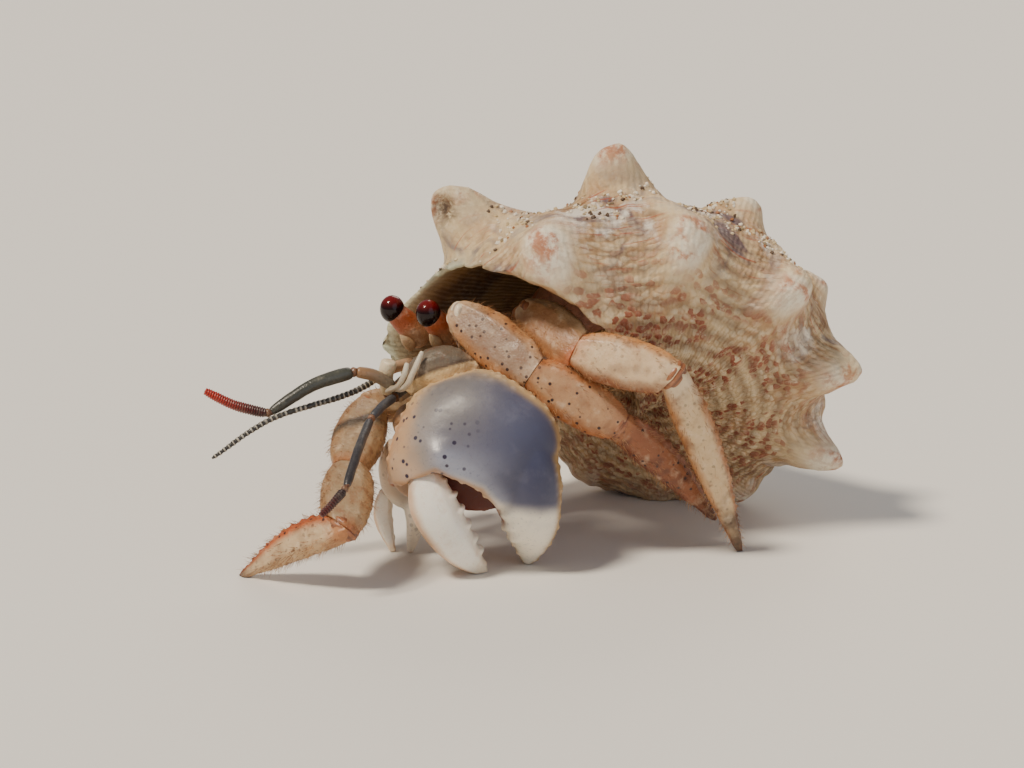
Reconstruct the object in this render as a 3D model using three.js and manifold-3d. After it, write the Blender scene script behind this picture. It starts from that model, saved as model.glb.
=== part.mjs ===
// A land hermit crab in a knobbed turban shell, life size, walking with its big claw lowered.
// Millimetres, +Z up. The crab faces -Y, its left side is +X and the floor is z = 0.
import * as THREE from 'three';
import { mergeVertices } from 'three/addons/utils/BufferGeometryUtils.js';
import Module from 'manifold-3d';

const wasm = await Module();
wasm.setup();

const at = (x, y, z) => new THREE.Vector3(x, y, z);
const gap = 0.3;        // the thin cut that parts two pieces at a joint
const detail = 0.03;    // the smallest edge kept when a cut leaves slivers
const footFlat = 0.35;  // how far a tip is drawn below the floor before it is cut flat

// ---------------------------------------------------------------- the shell's driving sizes
const apexPlace = at(-0.1, 43.1, 24.8);                     // where the spiral starts
const baseWay = at(0.527, -0.789, -0.316).normalize();      // the shell's axis, apex to base
const crossWay = new THREE.Vector3().crossVectors(at(0, 0, 1), baseWay).normalize();
const riseWay = new THREE.Vector3().crossVectors(baseWay, crossWay);
const growth = 0.134;         // the shell grows exp(0.134) for each radian it turns
const lipTurn = 2.324;        // the lip's angle round the axis
const knobSpacing = 0.565;    // radians from knob to knob, about 11 to a whorl
const spireTurns = 3.1;       // whorls from the first to the lip
const cavityTurns = 0.72;     // how far back the hollow reaches
const wallPart = 0.115;       // the wall's thickness as a part of the whorl's own size
const lipFlare = 2.6;         // how far the outer lip spreads

// One whorl's outline at the lip: distance out from the axis, distance along it from the apex,
// and lead, the radians by which that stretch of the lip runs ahead of the plain radius.
const whorlOutline = [
  { name: 'suture', out: 13.7, along: 16.8, lead: 0.95 },
  { name: 'shoulder', out: 23.0, along: 25.4, lead: 0.80 },
  { name: 'upper slope', out: 26.8, along: 29.2, lead: 0.56 },
  { name: 'upper keel', out: 28.6, along: 32.0, lead: 0.265 },
  { name: 'side', out: 30.8, along: 37.6, lead: 0.05 },
  { name: 'lower keel', out: 29.9, along: 43.2, lead: -0.123 },
  { name: 'base', out: 22.8, along: 47.4, lead: -0.38 },
  { name: 'inner base', out: 12.8, along: 48.2, lead: -0.58 },
  { name: 'columella foot', out: 4.4, along: 44.6, lead: -0.62 },
  { name: 'columella', out: 1.8, along: 36.0, lead: -0.40 },
  { name: 'inner corner', out: 1.7, along: 24.4, lead: 0.10 },
  { name: 'parietal wall', out: 7.1, along: 19.6, lead: 0.60 },
];
const sectionPlaces = [0, 0.5, 1, 1.5, 2, 2.5, 3, 3.5, 4, 4.5, 4.9, 5.35, 5.9, 6.6, 7.4, 8, 9, 10, 11];
const stepsPerKnob = 5;
// Each row of knobs: its place on the outline, the radians from the lip's plain radius back to
// its first knob, how far a knob leans along the axis for each millimetre it stands out, and how
// far each knob in turn stands out. Those past the end of the list are worn like its last one.
const knobRows = [
  { place: 3, first: 0.074, lean: 0.2, heights: [9.0, 8.0, 4.4, 3.6, 3.0, 2.0] },
  { place: 5.35, first: 0.349, lean: 0.6, heights: [3.4, 3.4, 4.4, 6.0, 7.6, 2.4, 1.4, 1.2, 1.6] },
];
const knobHalfTurn = 0.17;    // a knob's half width round the whorl, in radians
const knobHalfSide = 0.75;    // and across it, in places of the outline

// ---------------------------------------------------------------- small tools
function toSolid(geometry) {
  geometry.deleteAttribute('normal');
  geometry.deleteAttribute('uv');
  const merged = mergeVertices(geometry, 1e-4);
  const mesh = new wasm.Mesh({
    numProp: 3,
    vertProperties: new Float32Array(merged.attributes.position.array),
    triVerts: new Uint32Array(merged.index.array),
  });
  return new wasm.Manifold(mesh);
}

function toGeometry(solid) {
  const mesh = solid.getMesh();
  const geometry = new THREE.BufferGeometry();
  geometry.setAttribute('position', new THREE.BufferAttribute(mesh.vertProperties, 3));
  geometry.setIndex(new THREE.BufferAttribute(mesh.triVerts, 1));
  geometry.computeVertexNormals();
  return geometry;
}

// Rings of equal length become a closed skin; each end is drawn together on one middle point.
function skinRings(rings, startPoint, endPoint) {
  const sides = rings[0].length;
  const points = [startPoint, ...rings.flat(), endPoint];
  const index = [];
  const last = points.length - 1;
  const corner = (ring, side) => 1 + ring * sides + (side % sides);
  for (let side = 0; side < sides; side += 1) {
    index.push(0, corner(0, side + 1), corner(0, side));
    for (let ring = 0; ring < rings.length - 1; ring += 1) {
      const a = corner(ring, side);
      const b = corner(ring, side + 1);
      const c = corner(ring + 1, side + 1);
      const d = corner(ring + 1, side);
      index.push(a, b, c, a, c, d);
    }
    index.push(last, corner(rings.length - 1, side), corner(rings.length - 1, side + 1));
  }
  const geometry = new THREE.BufferGeometry();
  geometry.setAttribute('position', new THREE.Float32BufferAttribute(points.flatMap((p) => p.toArray()), 3));
  geometry.setIndex(index);
  return geometry;
}

// A smooth value between the numbers of a list, for t from 0 to 1.
function blend(values, t) {
  const curve = new THREE.SplineCurve(values.map((value, i) => new THREE.Vector2(i, value)));
  return curve.getPoint(t).y;
}

// A rounded limb piece: a middle line through points, half widths across the face that looks
// along `facing`, half depths along it, and ends that close like an egg, more square if blunt.
function limbSkin({ through, widths, depths, facing, steps = 6, sides = 9, blunt = 3.5, square = 2.2 }) {
  const line = new THREE.CatmullRomCurve3(through);
  const rings = [];
  for (let i = 1; i < steps; i += 1) {
    const t = 0.5 - 0.5 * Math.cos((Math.PI * i) / steps);
    const closing = (1 - Math.abs(2 * t - 1) ** blunt) ** (1 / blunt);
    const middle = line.getPoint(t);
    const ahead = line.getTangent(t);
    const wide = new THREE.Vector3().crossVectors(facing, ahead).normalize();
    const deep = new THREE.Vector3().crossVectors(ahead, wide);
    const ring = [];
    for (let side = 0; side < sides; side += 1) {
      const angle = (2 * Math.PI * side) / sides;
      const across = Math.sign(Math.cos(angle)) * Math.abs(Math.cos(angle)) ** (2 / square);
      const up = Math.sign(Math.sin(angle)) * Math.abs(Math.sin(angle)) ** (2 / square);
      ring.push(middle.clone()
        .addScaledVector(wide, across * closing * blend(widths, t))
        .addScaledVector(deep, up * closing * blend(depths, t)));
    }
    rings.push(ring);
  }
  return toSolid(skinRings(rings, line.getPoint(0), line.getPoint(1)));
}

// Keeps what lies ahead of a plane through `place`, half a gap clear of it.
const cutAhead = (solid, way, place) => solid.trimByPlane(way.toArray(), way.dot(place) + gap / 2);
const cutBehind = (solid, way, place) => cutAhead(solid, way.clone().negate(), place);
const aboveFloor = (solid) => solid.trimByPlane([0, 0, 1], 0);

const crab = new THREE.Group();

function add(name, solid, color, roughness = 0.45) {
  const material = new THREE.MeshStandardMaterial({ color, roughness, metalness: 0 });
  const mesh = new THREE.Mesh(toGeometry(solid.simplify(detail)), material);
  mesh.name = name;
  crab.add(mesh);
}

// ---------------------------------------------------------------- the shell
const outlineCurve = new THREE.CatmullRomCurve3(
  whorlOutline.map(({ out, along, lead }) => at(out, along, lead)), true, 'catmullrom', 0.5);
const whorlMiddle = { out: 17.9, along: 33.4 };

// How far the knobs of a row stand out at one place of the outline, at one angle round the axis.
function knobHeight(row, place, turn) {
  const nearest = Math.max(0, Math.round((-turn - row.first) / knobSpacing));
  const round = (turn + row.first + nearest * knobSpacing) / knobHalfTurn;
  const across = (place - row.place) / knobHalfSide;
  const height = row.heights[Math.min(nearest, row.heights.length - 1)];
  return height * Math.max(0, 1 - Math.hypot(round, across)) ** 0.8;
}

// One ring of the growing whorl: phi is 0 at the lip and falls towards the apex, and `shrink`
// draws the ring in towards the whorl's middle, for the hollow.
function whorlRing(phi, shrink, knobbed) {
  const ring = [];
  for (const place of sectionPlaces) {
    const { x, y, z: lead } = outlineCurve.getPoint(place / whorlOutline.length);
    const nearLip = THREE.MathUtils.clamp(1 + phi / 0.35, 0, 1) ** 2;
    const flare = lipFlare * nearLip * Math.exp(-(((place - 2) / 1.3) ** 2));
    const turn = phi + lead;
    let out = x + flare;
    let along = y;
    if (knobbed) {
      for (const row of knobRows) {
        const height = knobHeight(row, place, turn);
        out += height;
        along += row.lean * height;
      }
    }
    out = whorlMiddle.out + (out - whorlMiddle.out) * (1 - shrink);
    along = whorlMiddle.along + (along - whorlMiddle.along) * (1 - shrink);
    const size = Math.exp(growth * turn);
    const angle = lipTurn + turn;
    ring.push(apexPlace.clone()
      .addScaledVector(crossWay, size * out * Math.cos(angle))
      .addScaledVector(riseWay, size * out * Math.sin(angle))
      .addScaledVector(baseWay, size * along));
  }
  return ring;
}

// The middle of the whorl's hollow, phi radians from the lip.
const whorlCentre = (phi) => apexPlace.clone()
  .addScaledVector(crossWay, Math.exp(growth * phi) * whorlMiddle.out * Math.cos(lipTurn + phi))
  .addScaledVector(riseWay, Math.exp(growth * phi) * whorlMiddle.out * Math.sin(lipTurn + phi))
  .addScaledVector(baseWay, Math.exp(growth * phi) * whorlMiddle.along);

const ringMiddle = (ring) => ring
  .reduce((sum, point) => sum.add(point), at(0, 0, 0))
  .divideScalar(ring.length);

// A stretch of the whorl from one phi back to another, short of a turn, so that it is one solid.
function whorlStretch(phis, shrinkAt, knobbed) {
  const rings = phis.map((phi) => whorlRing(phi, shrinkAt(phi), knobbed));
  return toSolid(skinRings(rings, ringMiddle(rings[0]), ringMiddle(rings[rings.length - 1])));
}

// The same, for any length: stretches of under half a turn that overlap by one ring.
function longWhorl(phis, shrinkAt, knobbed, ringsPerStretch) {
  const stretches = [];
  for (let first = 0; first < phis.length - 2; first += ringsPerStretch) {
    stretches.push(whorlStretch(phis.slice(first, first + ringsPerStretch + 2), shrinkAt, knobbed));
  }
  return wasm.Manifold.union(stretches);
}

// The solid pillar on the axis, which the whorls wind round.
function columella() {
  const profile = [[0, 2], [0.35, 2.4], [2.7, 38.0], [1.7, 40.2], [0, 40.8]];
  const geometry = new THREE.LatheGeometry(profile.map(([out, along]) => new THREE.Vector2(out, along)), 8);
  const turned = new THREE.Quaternion().setFromUnitVectors(at(0, 1, 0), baseWay);
  geometry.applyQuaternion(turned);
  geometry.translate(...apexPlace.toArray());
  return toSolid(geometry);
}

function shell() {
  const step = knobSpacing / stepsPerKnob;
  const turnsBack = (turns, size) => Math.round((2 * Math.PI * turns) / size);
  const bodyPhis = Array.from({ length: turnsBack(1.15, step) + 1 }, (_, i) => -i * step);
  const spireStart = bodyPhis[bodyPhis.length - 2] - 0.01;
  const spireSteps = turnsBack(spireTurns - 1.15, 3 * step);
  const spirePhis = Array.from({ length: spireSteps + 1 }, (_, i) => spireStart - i * 3 * step);
  const solid = () => 0;
  const whorls = longWhorl(bodyPhis, solid, true, 22).add(longWhorl(spirePhis, solid, false, 7));
  const hollowStep = 3 * step;
  const hollowRings = turnsBack(cavityTurns, hollowStep);
  const hollowPhis = Array.from({ length: hollowRings }, (_, i) => 0.35 - i * hollowStep);
  const wallAt = (phi) => wallPart * (phi > -0.25 ? 0.62 : 1);
  const hollow = longWhorl(hollowPhis, wallAt, false, 8);
  const parts = aboveFloor(whorls.add(columella()).subtract(hollow)).simplify(0.8).decompose();
  return parts.reduce((largest, part) => (part.volume() > largest.volume() ? part : largest));
}

add('shell', shell(), '#cdb59a', 0.6);

// ---------------------------------------------------------------- head and body
const upward = at(0, 0, 1);
const faceWay = at(0.56, -0.80, 0.20);   // the way most of the flat faces look
const cutHeight = 23.7;                      // the shield lies on the thorax at this height

const shieldBody = limbSkin({
  through: [at(1.5, -2.0, 24.2), at(2.1, 3.0, 24.4), at(2.8, 8.2, 24.0)],
  widths: [2.8, 3.4, 2.7], depths: [2.2, 2.4, 2.2], facing: upward, blunt: 4, square: 2.4,
});
add('shield', cutAhead(shieldBody, upward, at(0, 0, cutHeight)), '#c89a72');

const thoraxBody = limbSkin({
  through: [at(1.4, -1.9, 20.6), at(1.8, 3.5, 20.0), at(2.4, 10.2, 20.4)],
  widths: [2.6, 3.4, 3.0], depths: [4.0, 4.6, 3.8], facing: upward, blunt: 4, square: 2.6,
});
add('thorax', cutBehind(thoraxBody, upward, at(0, 0, cutHeight)), '#c9a07c');

// The soft abdomen leaves the thorax and coils back along the middle of the whorl.
const abdomenEnd = -2.5;
const tailEnd = -2.95;
const coilPoints = [-0.5, -0.9, -1.3, -1.7, -2.1, abdomenEnd].map(whorlCentre);
const abdomenBody = limbSkin({
  through: [at(3.0, 11.4, 21.2), at(8.4, 12.0, 26.0), ...coilPoints],
  widths: [2.6, 4.2, 5.4, 5.8, 5.8, 5.2, 4.6, 3.4], depths: [2.4, 4.0, 5.2, 5.6, 5.6, 5.0, 4.4, 3.2],
  facing: baseWay, steps: 13, sides: 10, blunt: 5,
});
add('abdomen', abdomenBody, '#b5806a', 0.6);
const tailBody = limbSkin({
  through: [whorlCentre(abdomenEnd - 0.03), whorlCentre(-2.75), whorlCentre(tailEnd)],
  widths: [2.2, 2.8, 1.6], depths: [1.2, 1.4, 0.8], facing: baseWay,
});
add('tail_fan', tailBody, '#b98a6c', 0.5);

const eyes = {
  left: { stalk: at(2.95, -2.55, 24.6), eye: at(2.65, -6.2, 28.0) },
  right: { stalk: at(-0.75, -2.55, 23.9), eye: at(-2.65, -6.2, 28.0) },
};
const cornea = { wide: 1.42, high: 1.62, long: 1.5, cut: 0.55 };
for (const [side, { stalk, eye }] of Object.entries(eyes)) {
  const ahead = eye.clone().sub(stalk).normalize();
  const cutPlace = eye.clone().addScaledVector(ahead, -cornea.cut);
  const stalkBody = limbSkin({
    through: [stalk, stalk.clone().lerp(eye, 0.5), eye], widths: [1.75, 1.55, 1.2],
    depths: [1.75, 1.6, 1.35], facing: upward, sides: 9, blunt: 6,
  });
  add(`${side}_eyestalk`, cutBehind(stalkBody, ahead, cutPlace), '#c2672e');
  const ball = toSolid(new THREE.SphereGeometry(1, 10, 7)
    .scale(cornea.wide, cornea.long, cornea.high)
    .translate(...eye.toArray()));
  add(`${side}_cornea`, cutAhead(ball, ahead, cutPlace), '#2a0d0c', 0.1);
}

// ---------------------------------------------------------------- limbs
// A limb runs through its joints. Each piece reaches a little past its joints and is cut on the
// plane that halves the bend, so that neighbours meet face to face with the thin gap between.
function limb(prefix, joints, facing, pieces, color) {
  const ways = joints.slice(1).map((joint, i) => joint.clone().sub(joints[i]).normalize());
  pieces.forEach((piece, i) => {
    const from = joints[i].clone().addScaledVector(ways[i], i === 0 ? 0 : -piece.reach);
    const to = joints[i + 1].clone().addScaledVector(ways[i], i === pieces.length - 1 ? 0 : piece.reach);
    const middle = from.clone().lerp(to, 0.5).addScaledVector(piece.bowWay ?? upward, piece.bow ?? 0);
    const around = piece.facing ?? facing;
    let solid = limbSkin({ ...piece, through: [from, middle, to], facing: around });
    if (i > 0) {
      const way = ways[i].clone().add(ways[i - 1]).normalize();
      solid = cutAhead(solid, way, joints[i]);
    }
    if (i < pieces.length - 1) {
      const way = ways[i].clone().add(ways[i + 1]).normalize();
      solid = cutBehind(solid, way, joints[i + 1]);
    }
    add(`${prefix}_${piece.name}`, aboveFloor(solid), piece.color ?? color);
  });
}

// The walking legs: merus, carpus, propodus and the long pointed dactyl.
const walkingPieces = [
  { name: 'merus', widths: [1.6, 2.2, 2.0], depths: [1.0, 1.25, 1.2], reach: 1.0, sides: 8,
    color: '#d9b48e' },
  { name: 'carpus', widths: [2.1, 2.8, 2.6], depths: [1.2, 1.45, 1.35], reach: 1.4, color: '#cda98c' },
  { name: 'propodus', widths: [2.3, 2.7, 2.3], depths: [1.3, 1.5, 1.3], reach: 1.4, color: '#d8935c' },
  { name: 'dactyl', widths: [2.1, 2.0, 0.45], depths: [1.4, 1.3, 0.4], reach: 1.2, color: '#a9552f',
    steps: 8, bow: 0.9 },
];
const legs = {
  left_front_leg: {
    facing: faceWay,
    joints: [at(7.2, 3.2, 18.4), at(6.5, -5.4, 28.2), at(16.5, -5.0, 22.5), at(23.7, 1.5, 16.1),
      at(29.9, 13.6, 3.2)],
  },
  left_back_leg: {
    facing: faceWay,
    joints: [at(8.6, 6.8, 19.0), at(12.4, -0.3, 28.3), at(20.2, -1.7, 24.8), at(30.5, 1.9, 22.7),
      at(33.2, 14.0, -2 * footFlat)],
  },
  right_front_leg: {
    facing: at(0.5, -0.6, 0.6),
    joints: [at(-2.9, 1.6, 15.0), at(-5.4, -7.4, 16.4), at(0.1, -17.7, 11.7), at(5.3, -25.0, 7.3),
      at(-8.6, -26.9, -footFlat)],
  },
  right_back_leg: {
    facing: at(-0.8, 0.0, 0.6),
    joints: [at(-2.9, 6.4, 14.2), at(-10.5, 6.0, 15.2), at(-12.8, 12.6, 14.8), at(-13.8, 21.4, 9.6),
      at(-15.6, 36.0, -footFlat)],
  },
};
for (const [name, { joints, facing }] of Object.entries(legs)) {
  limb(name, joints, facing, walkingPieces, '#d8935c');
}

// The claws: arm and wrist, the palm with its fixed finger, and the finger that moves.
const bigFacing = at(0.56, -0.82, 0.10);
const wristWay = at(0.47, -0.12, -0.87);
add('left_claw_arm', limbSkin({
  through: [at(5.7, 1.2, 15.4), at(6.4, -1.6, 17.6), at(7.0, -4.2, 19.6)],
  widths: [1.6, 2.1, 2.1], depths: [1.6, 2.0, 2.0], facing: bigFacing,
}), '#bfa088');
const wristBody = limbSkin({
  through: [at(3.0, -11.2, 20.2), at(6.4, -8.7, 22.3), at(9.7, -6.2, 22.0)],
  widths: [2.2, 2.7, 2.0], depths: [2.0, 2.5, 1.7], facing: bigFacing, steps: 8, blunt: 2.6,
});
const palmTop = at(8.0, -9.4, 21.2);
add('left_claw_wrist', cutBehind(wristBody, wristWay, palmTop), '#b09c8c');

// A flat-sided cut: corners given right and up from a middle, as seen by someone who faces the
// claw, run from `back` behind that middle to well in front of it.
function notchCut({ corners, middle: centre, back }, facing) {
  const face = facing.clone().normalize();
  const right = new THREE.Vector3().crossVectors(upward, face).normalize();
  const up = new THREE.Vector3().crossVectors(face, right);
  const outline = new THREE.Shape(corners.map(([x, y]) => new THREE.Vector2(x, y)));
  const block = new THREE.ExtrudeGeometry(outline, { depth: 12 + back, bevelEnabled: false });
  block.applyMatrix4(new THREE.Matrix4().makeBasis(right, up, face)
    .setPosition(centre.clone().addScaledVector(face, -back)));
  return toSolid(block);
}

// The finger that moves sits in a socket a thin gap wider than itself, cut in the palm. The gape
// between the two fingers is a notch or a rounded cut.
function claw(prefix, { facing, top, palm, fixed, gape, notch, finger, colors }) {
  const wider = (values) => values.map((value) => value + gap);
  const skin = (piece, more = {}) => limbSkin({ steps: 7, blunt: 3, ...piece, facing, ...more });
  const [root, ...beyond] = finger.through;
  const deeper = root.clone().sub(beyond[0]).setLength(2 * gap).add(root);
  const socket = skin(finger, {
    through: [deeper, ...beyond], widths: wider(finger.widths), depths: wider(finger.depths),
  });
  const palmSkin = skin(palm, { steps: 8, sides: 12, blunt: 2.4 });
  const opened = notch
    ? palmSkin.subtract(notchCut(notch, facing)).add(skin(fixed))
    : palmSkin.add(skin(fixed)).subtract(skin(gape));
  const palmBody = opened.subtract(socket);
  const palmPieces = aboveFloor(cutAhead(palmBody, top.way, top.place)).decompose();
  const palmSolid = palmPieces.reduce((most, piece) => (piece.volume() > most.volume() ? piece : most));
  add(`${prefix}_palm`, palmSolid, colors.palm, 0.25);
  add(`${prefix}_finger`, aboveFloor(skin(finger)), colors.finger, 0.3);
}
claw('left_claw', {
  facing: bigFacing,
  top: { place: palmTop, way: wristWay },
  palm: {
    through: [at(7.5, -9.7, 22.4), at(10.0, -10.4, 18.4), at(12.0, -10.7, 14.3), at(13.2, -10.3, 10.3),
      at(13.6, -9.6, 7.0)],
    widths: [6.0, 8.2, 9.9, 9.0, 5.0], depths: [3.2, 5.2, 5.7, 5.0, 3.0],
  },
  fixed: {
    through: [at(16.4, -8.1, 19.4), at(17.7, -7.8, 12.4), at(17.5, -6.8, 7.0), at(16.5, -5.4, 3.2),
      at(15.2, -4.4, -footFlat)],
    widths: [3.0, 3.6, 3.3, 2.4, 0.9], depths: [3.6, 4.0, 3.3, 2.2, 0.9], steps: 8,
  },
  notch: {
    middle: at(12.0, -10.7, 13.6),
    back: 0.6,
    corners: [[-13.0, -3.6], [-9.0, -3.3], [-6.9, -2.9], [-3.7, -1.1], [-2.5, -1.8], [1.1, -3.5],
      [2.5, -5.2], [3.2, -7.0], [3.6, -16.0], [-13.0, -16.0]],
  },
  finger: {
    through: [at(9.0, -15.9, 12.9), at(10.4, -15.9, 8.9), at(11.5, -14.6, 5.5), at(12.3, -12.5, 2.5),
      at(13.1, -9.7, -footFlat)],
    widths: [2.1, 2.7, 2.5, 1.9, 0.8], depths: [2.1, 2.4, 2.2, 1.7, 0.8], blunt: 3.4, steps: 8,
  },
  colors: { palm: '#8d8aa0', finger: '#e6ddd2' },
});

limb('right_claw', [at(0.2, -1.6, 14.7), at(0.0, -5.6, 15.8), at(0.8, -8.4, 14.2)], bigFacing, [
  { name: 'arm', widths: [1.1, 1.5, 1.6], depths: [1.1, 1.4, 1.5], reach: 0.6, color: '#bfa088' },
  { name: 'wrist', widths: [1.6, 2.0, 1.9], depths: [1.4, 1.8, 1.8], reach: 0.7, color: '#b09c8c' },
], '#b09c8c');
claw('right_claw', {
  facing: bigFacing,
  top: { place: at(0.9, -9.3, 13.6), way: at(0.1, -0.2, -1).normalize() },
  palm: {
    through: [at(0.8, -9.2, 14.4), at(1.0, -9.6, 11.0), at(1.4, -9.5, 7.6), at(1.7, -9.3, 5.2)],
    widths: [1.8, 2.6, 2.5, 1.4], depths: [1.4, 2.1, 2.0, 1.2],
  },
  fixed: {
    through: [at(2.1, -9.3, 7.6), at(2.7, -9.1, 4.0), at(1.7, -9.0, -footFlat)],
    widths: [1.2, 1.1, 0.5], depths: [1.4, 1.2, 0.5],
  },
  gape: {
    through: [at(0.8, -9.6, 5.6), at(1.0, -9.4, 3.2), at(1.0, -9.2, 1.2)],
    widths: [0.5, 0.7, 0.3], depths: [2.4, 2.4, 1.4],
  },
  finger: {
    through: [at(-0.7, -10.3, 7.6), at(-1.2, -10.2, 4.0), at(0.0, -9.8, -footFlat)],
    widths: [0.9, 1.1, 0.4], depths: [1.1, 1.1, 0.4],
  },
  colors: { palm: '#b3a69c', finger: '#ddd2c4' },
});

// Two pairs of small legs grip the inside of the shell.
const smallLegs = {
  left_fourth_leg: [at(6.2, 9.0, 18.6), at(9.4, 9.4, 18.2), at(11.6, 6.6, 16.6)],
  right_fourth_leg: [at(-1.6, 9.6, 16.2), at(-3.4, 11.4, 14.2), at(-3.4, 9.4, 11.8)],
  left_fifth_leg: [at(5.6, 12.2, 19.6), at(8.6, 14.0, 19.6), at(11.0, 13.0, 18.4)],
  right_fifth_leg: [at(0.6, 12.0, 18.0), at(1.4, 14.4, 16.6), at(3.4, 14.8, 15.4)],
};
for (const [name, through] of Object.entries(smallLegs)) {
  const body = limbSkin({ through, widths: [0.9, 1.0, 0.9], depths: [0.6, 0.7, 0.6], facing: upward,
    steps: 6, sides: 8 });
  add(name, body, '#cfa27e');
}

// ---------------------------------------------------------------- feelers and mouth
const thin = { steps: 5, sides: 7, blunt: 6 };
function feeler(name, through, start, end, color, more = {}) {
  const widths = [start, (start + end) / 2, end];
  add(name, limbSkin({ ...thin, through, widths, depths: widths, facing: faceWay, ...more }), color);
}
feeler('right_antennule_base', [at(0.2, -3.4, 22.2), at(0.1, -6.5, 20.6), at(0.2, -9.2, 19.6)], 0.7, 0.65,
  '#8f8271');
feeler('right_antennule_stem', [at(0.1, -9.7, 19.8), at(-1.2, -11.6, 21.2), at(-2.5, -13.1, 21.7)], 0.75, 0.7,
  '#8f8271');
feeler('right_antennule_upper', [at(-2.8, -13.6, 21.7), at(-5.2, -17.6, 20.6), at(-7.9, -21.8, 17.9)], 0.85,
  0.6, '#55564f');
feeler('right_antennule_whip', [at(-8.2, -22.2, 17.8), at(-10.4, -24.8, 18.9), at(-12.8, -27.2, 20.7)], 0.6,
  0.5, '#8c2a1c');
feeler('left_antennule_base', [at(1.9, -3.4, 22.1), at(1.7, -7.4, 20.5), at(1.5, -10.9, 19.0)], 0.65, 0.6,
  '#7d8184');
feeler('left_antennule_stem', [at(1.6, -11.5, 18.9), at(2.2, -14.0, 18.6), at(2.4, -16.3, 17.7)], 0.6, 0.55,
  '#6d7480');
feeler('left_antennule_upper', [at(2.6, -17.0, 17.4), at(4.8, -21.6, 15.6), at(6.9, -26.4, 12.5)], 0.65, 0.6,
  '#6a707c');
feeler('left_antennule_whip', [at(6.9, -26.9, 12.1), at(6.8, -28.4, 11.2), at(6.1, -29.8, 9.9)], 0.55, 0.45,
  '#4a2f3c');
feeler('right_antenna_base', [at(-2.0, -3.2, 21.2), at(-2.6, -6.2, 21.0), at(-2.9, -8.6, 20.3)], 0.75, 0.6,
  '#c7a98c');
feeler('right_antenna_whip', [at(-2.9, -9.2, 20.0), at(-3.8, -13.6, 18.9), at(-7.4, -22.4, 17.2),
  at(-11.0, -28.2, 13.4)], 0.4, 0.26, '#4b463f', { steps: 9, sides: 6 });
feeler('left_antenna_base', [at(4.4, -3.0, 20.8), at(4.3, -5.2, 19.8), at(4.0, -6.8, 18.6)], 0.65, 0.55,
  '#c7a98c');
feeler('left_antenna_whip', [at(3.9, -7.2, 18.0), at(3.4, -7.6, 14.0), at(4.2, -6.4, 7.0),
  at(5.6, -4.6, 2.2)], 0.4, 0.26, '#4b463f', { steps: 9, sides: 6 });
feeler('right_maxilliped_lower', [at(-0.6, -3.2, 18.6), at(-0.8, -6.0, 18.6), at(-0.9, -8.0, 18.0)], 0.95,
  0.9, '#d8c2a4');
feeler('right_maxilliped_upper', [at(-1.5, -9.3, 21.3), at(-1.4, -9.4, 19.8), at(-1.2, -9.0, 18.2)], 0.7,
  0.8, '#dccbb0');
feeler('left_maxilliped_lower', [at(2.4, -3.2, 18.4), at(2.6, -5.8, 18.8), at(2.4, -7.6, 19.6)], 0.9, 0.8,
  '#d8c2a4');
feeler('left_maxilliped_upper', [at(2.6, -8.0, 20.4), at(2.6, -7.7, 21.6), at(2.8, -7.2, 22.9)], 0.55, 0.5,
  '#dccbb0');

// The whole stands with the middle of its outer box over the origin and its lowest point at 0.
const box = new THREE.Box3().setFromObject(crab);
const middle = box.getCenter(at(0, 0, 0));
crab.position.set(-middle.x, -middle.y, -box.min.z);

export default crab;
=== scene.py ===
# A land hermit crab in its knobbed turban shell: fine surfaces, finishes, bristles, light and camera.
# Sizes in the dictionaries are millimetres in the crab's own frame: it faces -Y and its left side is +X.
import math
from functools import partial

import bpy
import numpy as np
from mathutils import Matrix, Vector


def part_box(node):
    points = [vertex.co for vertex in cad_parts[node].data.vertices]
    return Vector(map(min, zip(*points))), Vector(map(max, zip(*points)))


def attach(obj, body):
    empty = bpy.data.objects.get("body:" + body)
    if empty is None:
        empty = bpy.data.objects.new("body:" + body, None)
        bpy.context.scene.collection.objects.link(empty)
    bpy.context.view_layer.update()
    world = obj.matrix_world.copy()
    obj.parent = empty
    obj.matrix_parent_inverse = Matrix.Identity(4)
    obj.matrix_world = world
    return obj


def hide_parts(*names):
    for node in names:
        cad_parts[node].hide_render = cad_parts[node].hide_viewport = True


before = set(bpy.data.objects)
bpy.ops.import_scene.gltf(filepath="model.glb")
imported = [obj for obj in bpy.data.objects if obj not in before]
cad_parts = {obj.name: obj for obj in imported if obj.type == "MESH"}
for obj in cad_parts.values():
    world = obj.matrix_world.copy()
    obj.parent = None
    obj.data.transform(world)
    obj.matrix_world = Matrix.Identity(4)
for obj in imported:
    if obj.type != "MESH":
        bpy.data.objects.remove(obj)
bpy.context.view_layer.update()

millimetre = 0.001
turnRound = 2 * math.pi

# The left cornea gives the place of the crab's own frame in the part's frame.
leftCornea = {"middleX": 2.65, "frontY": -7.7}
corneaLow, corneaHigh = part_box("left_cornea")
crabOrigin = np.array([
    (corneaLow.x + corneaHigh.x) / 2 / millimetre - leftCornea["middleX"],
    corneaLow.y / millimetre - leftCornea["frontY"],
    0.0,
])


def toLinear(hexText):
    # sRGB hex to linear: c / 12.92 for dark values, ((c + 0.055) / 1.055) ^ 2.4 for the rest
    values = np.array([int(hexText[i:i + 2], 16) / 255 for i in (1, 3, 5)])
    return np.where(values <= 0.04045, values / 12.92, ((values + 0.055) / 1.055) ** 2.4)


def linearColour(hexText):
    return (*toLinear(hexText), 1.0)


def unit(vector):
    vector = np.asarray(vector, float)
    return vector / np.maximum(np.linalg.norm(vector, axis=-1, keepdims=True), 1e-12)


def smoothStep(low, high, value):
    # 0 below low, 1 above high, 3 s^2 - 2 s^3 between them
    s = np.clip((value - low) / (high - low), 0, 1)
    return s * s * (3 - 2 * s)


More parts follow.
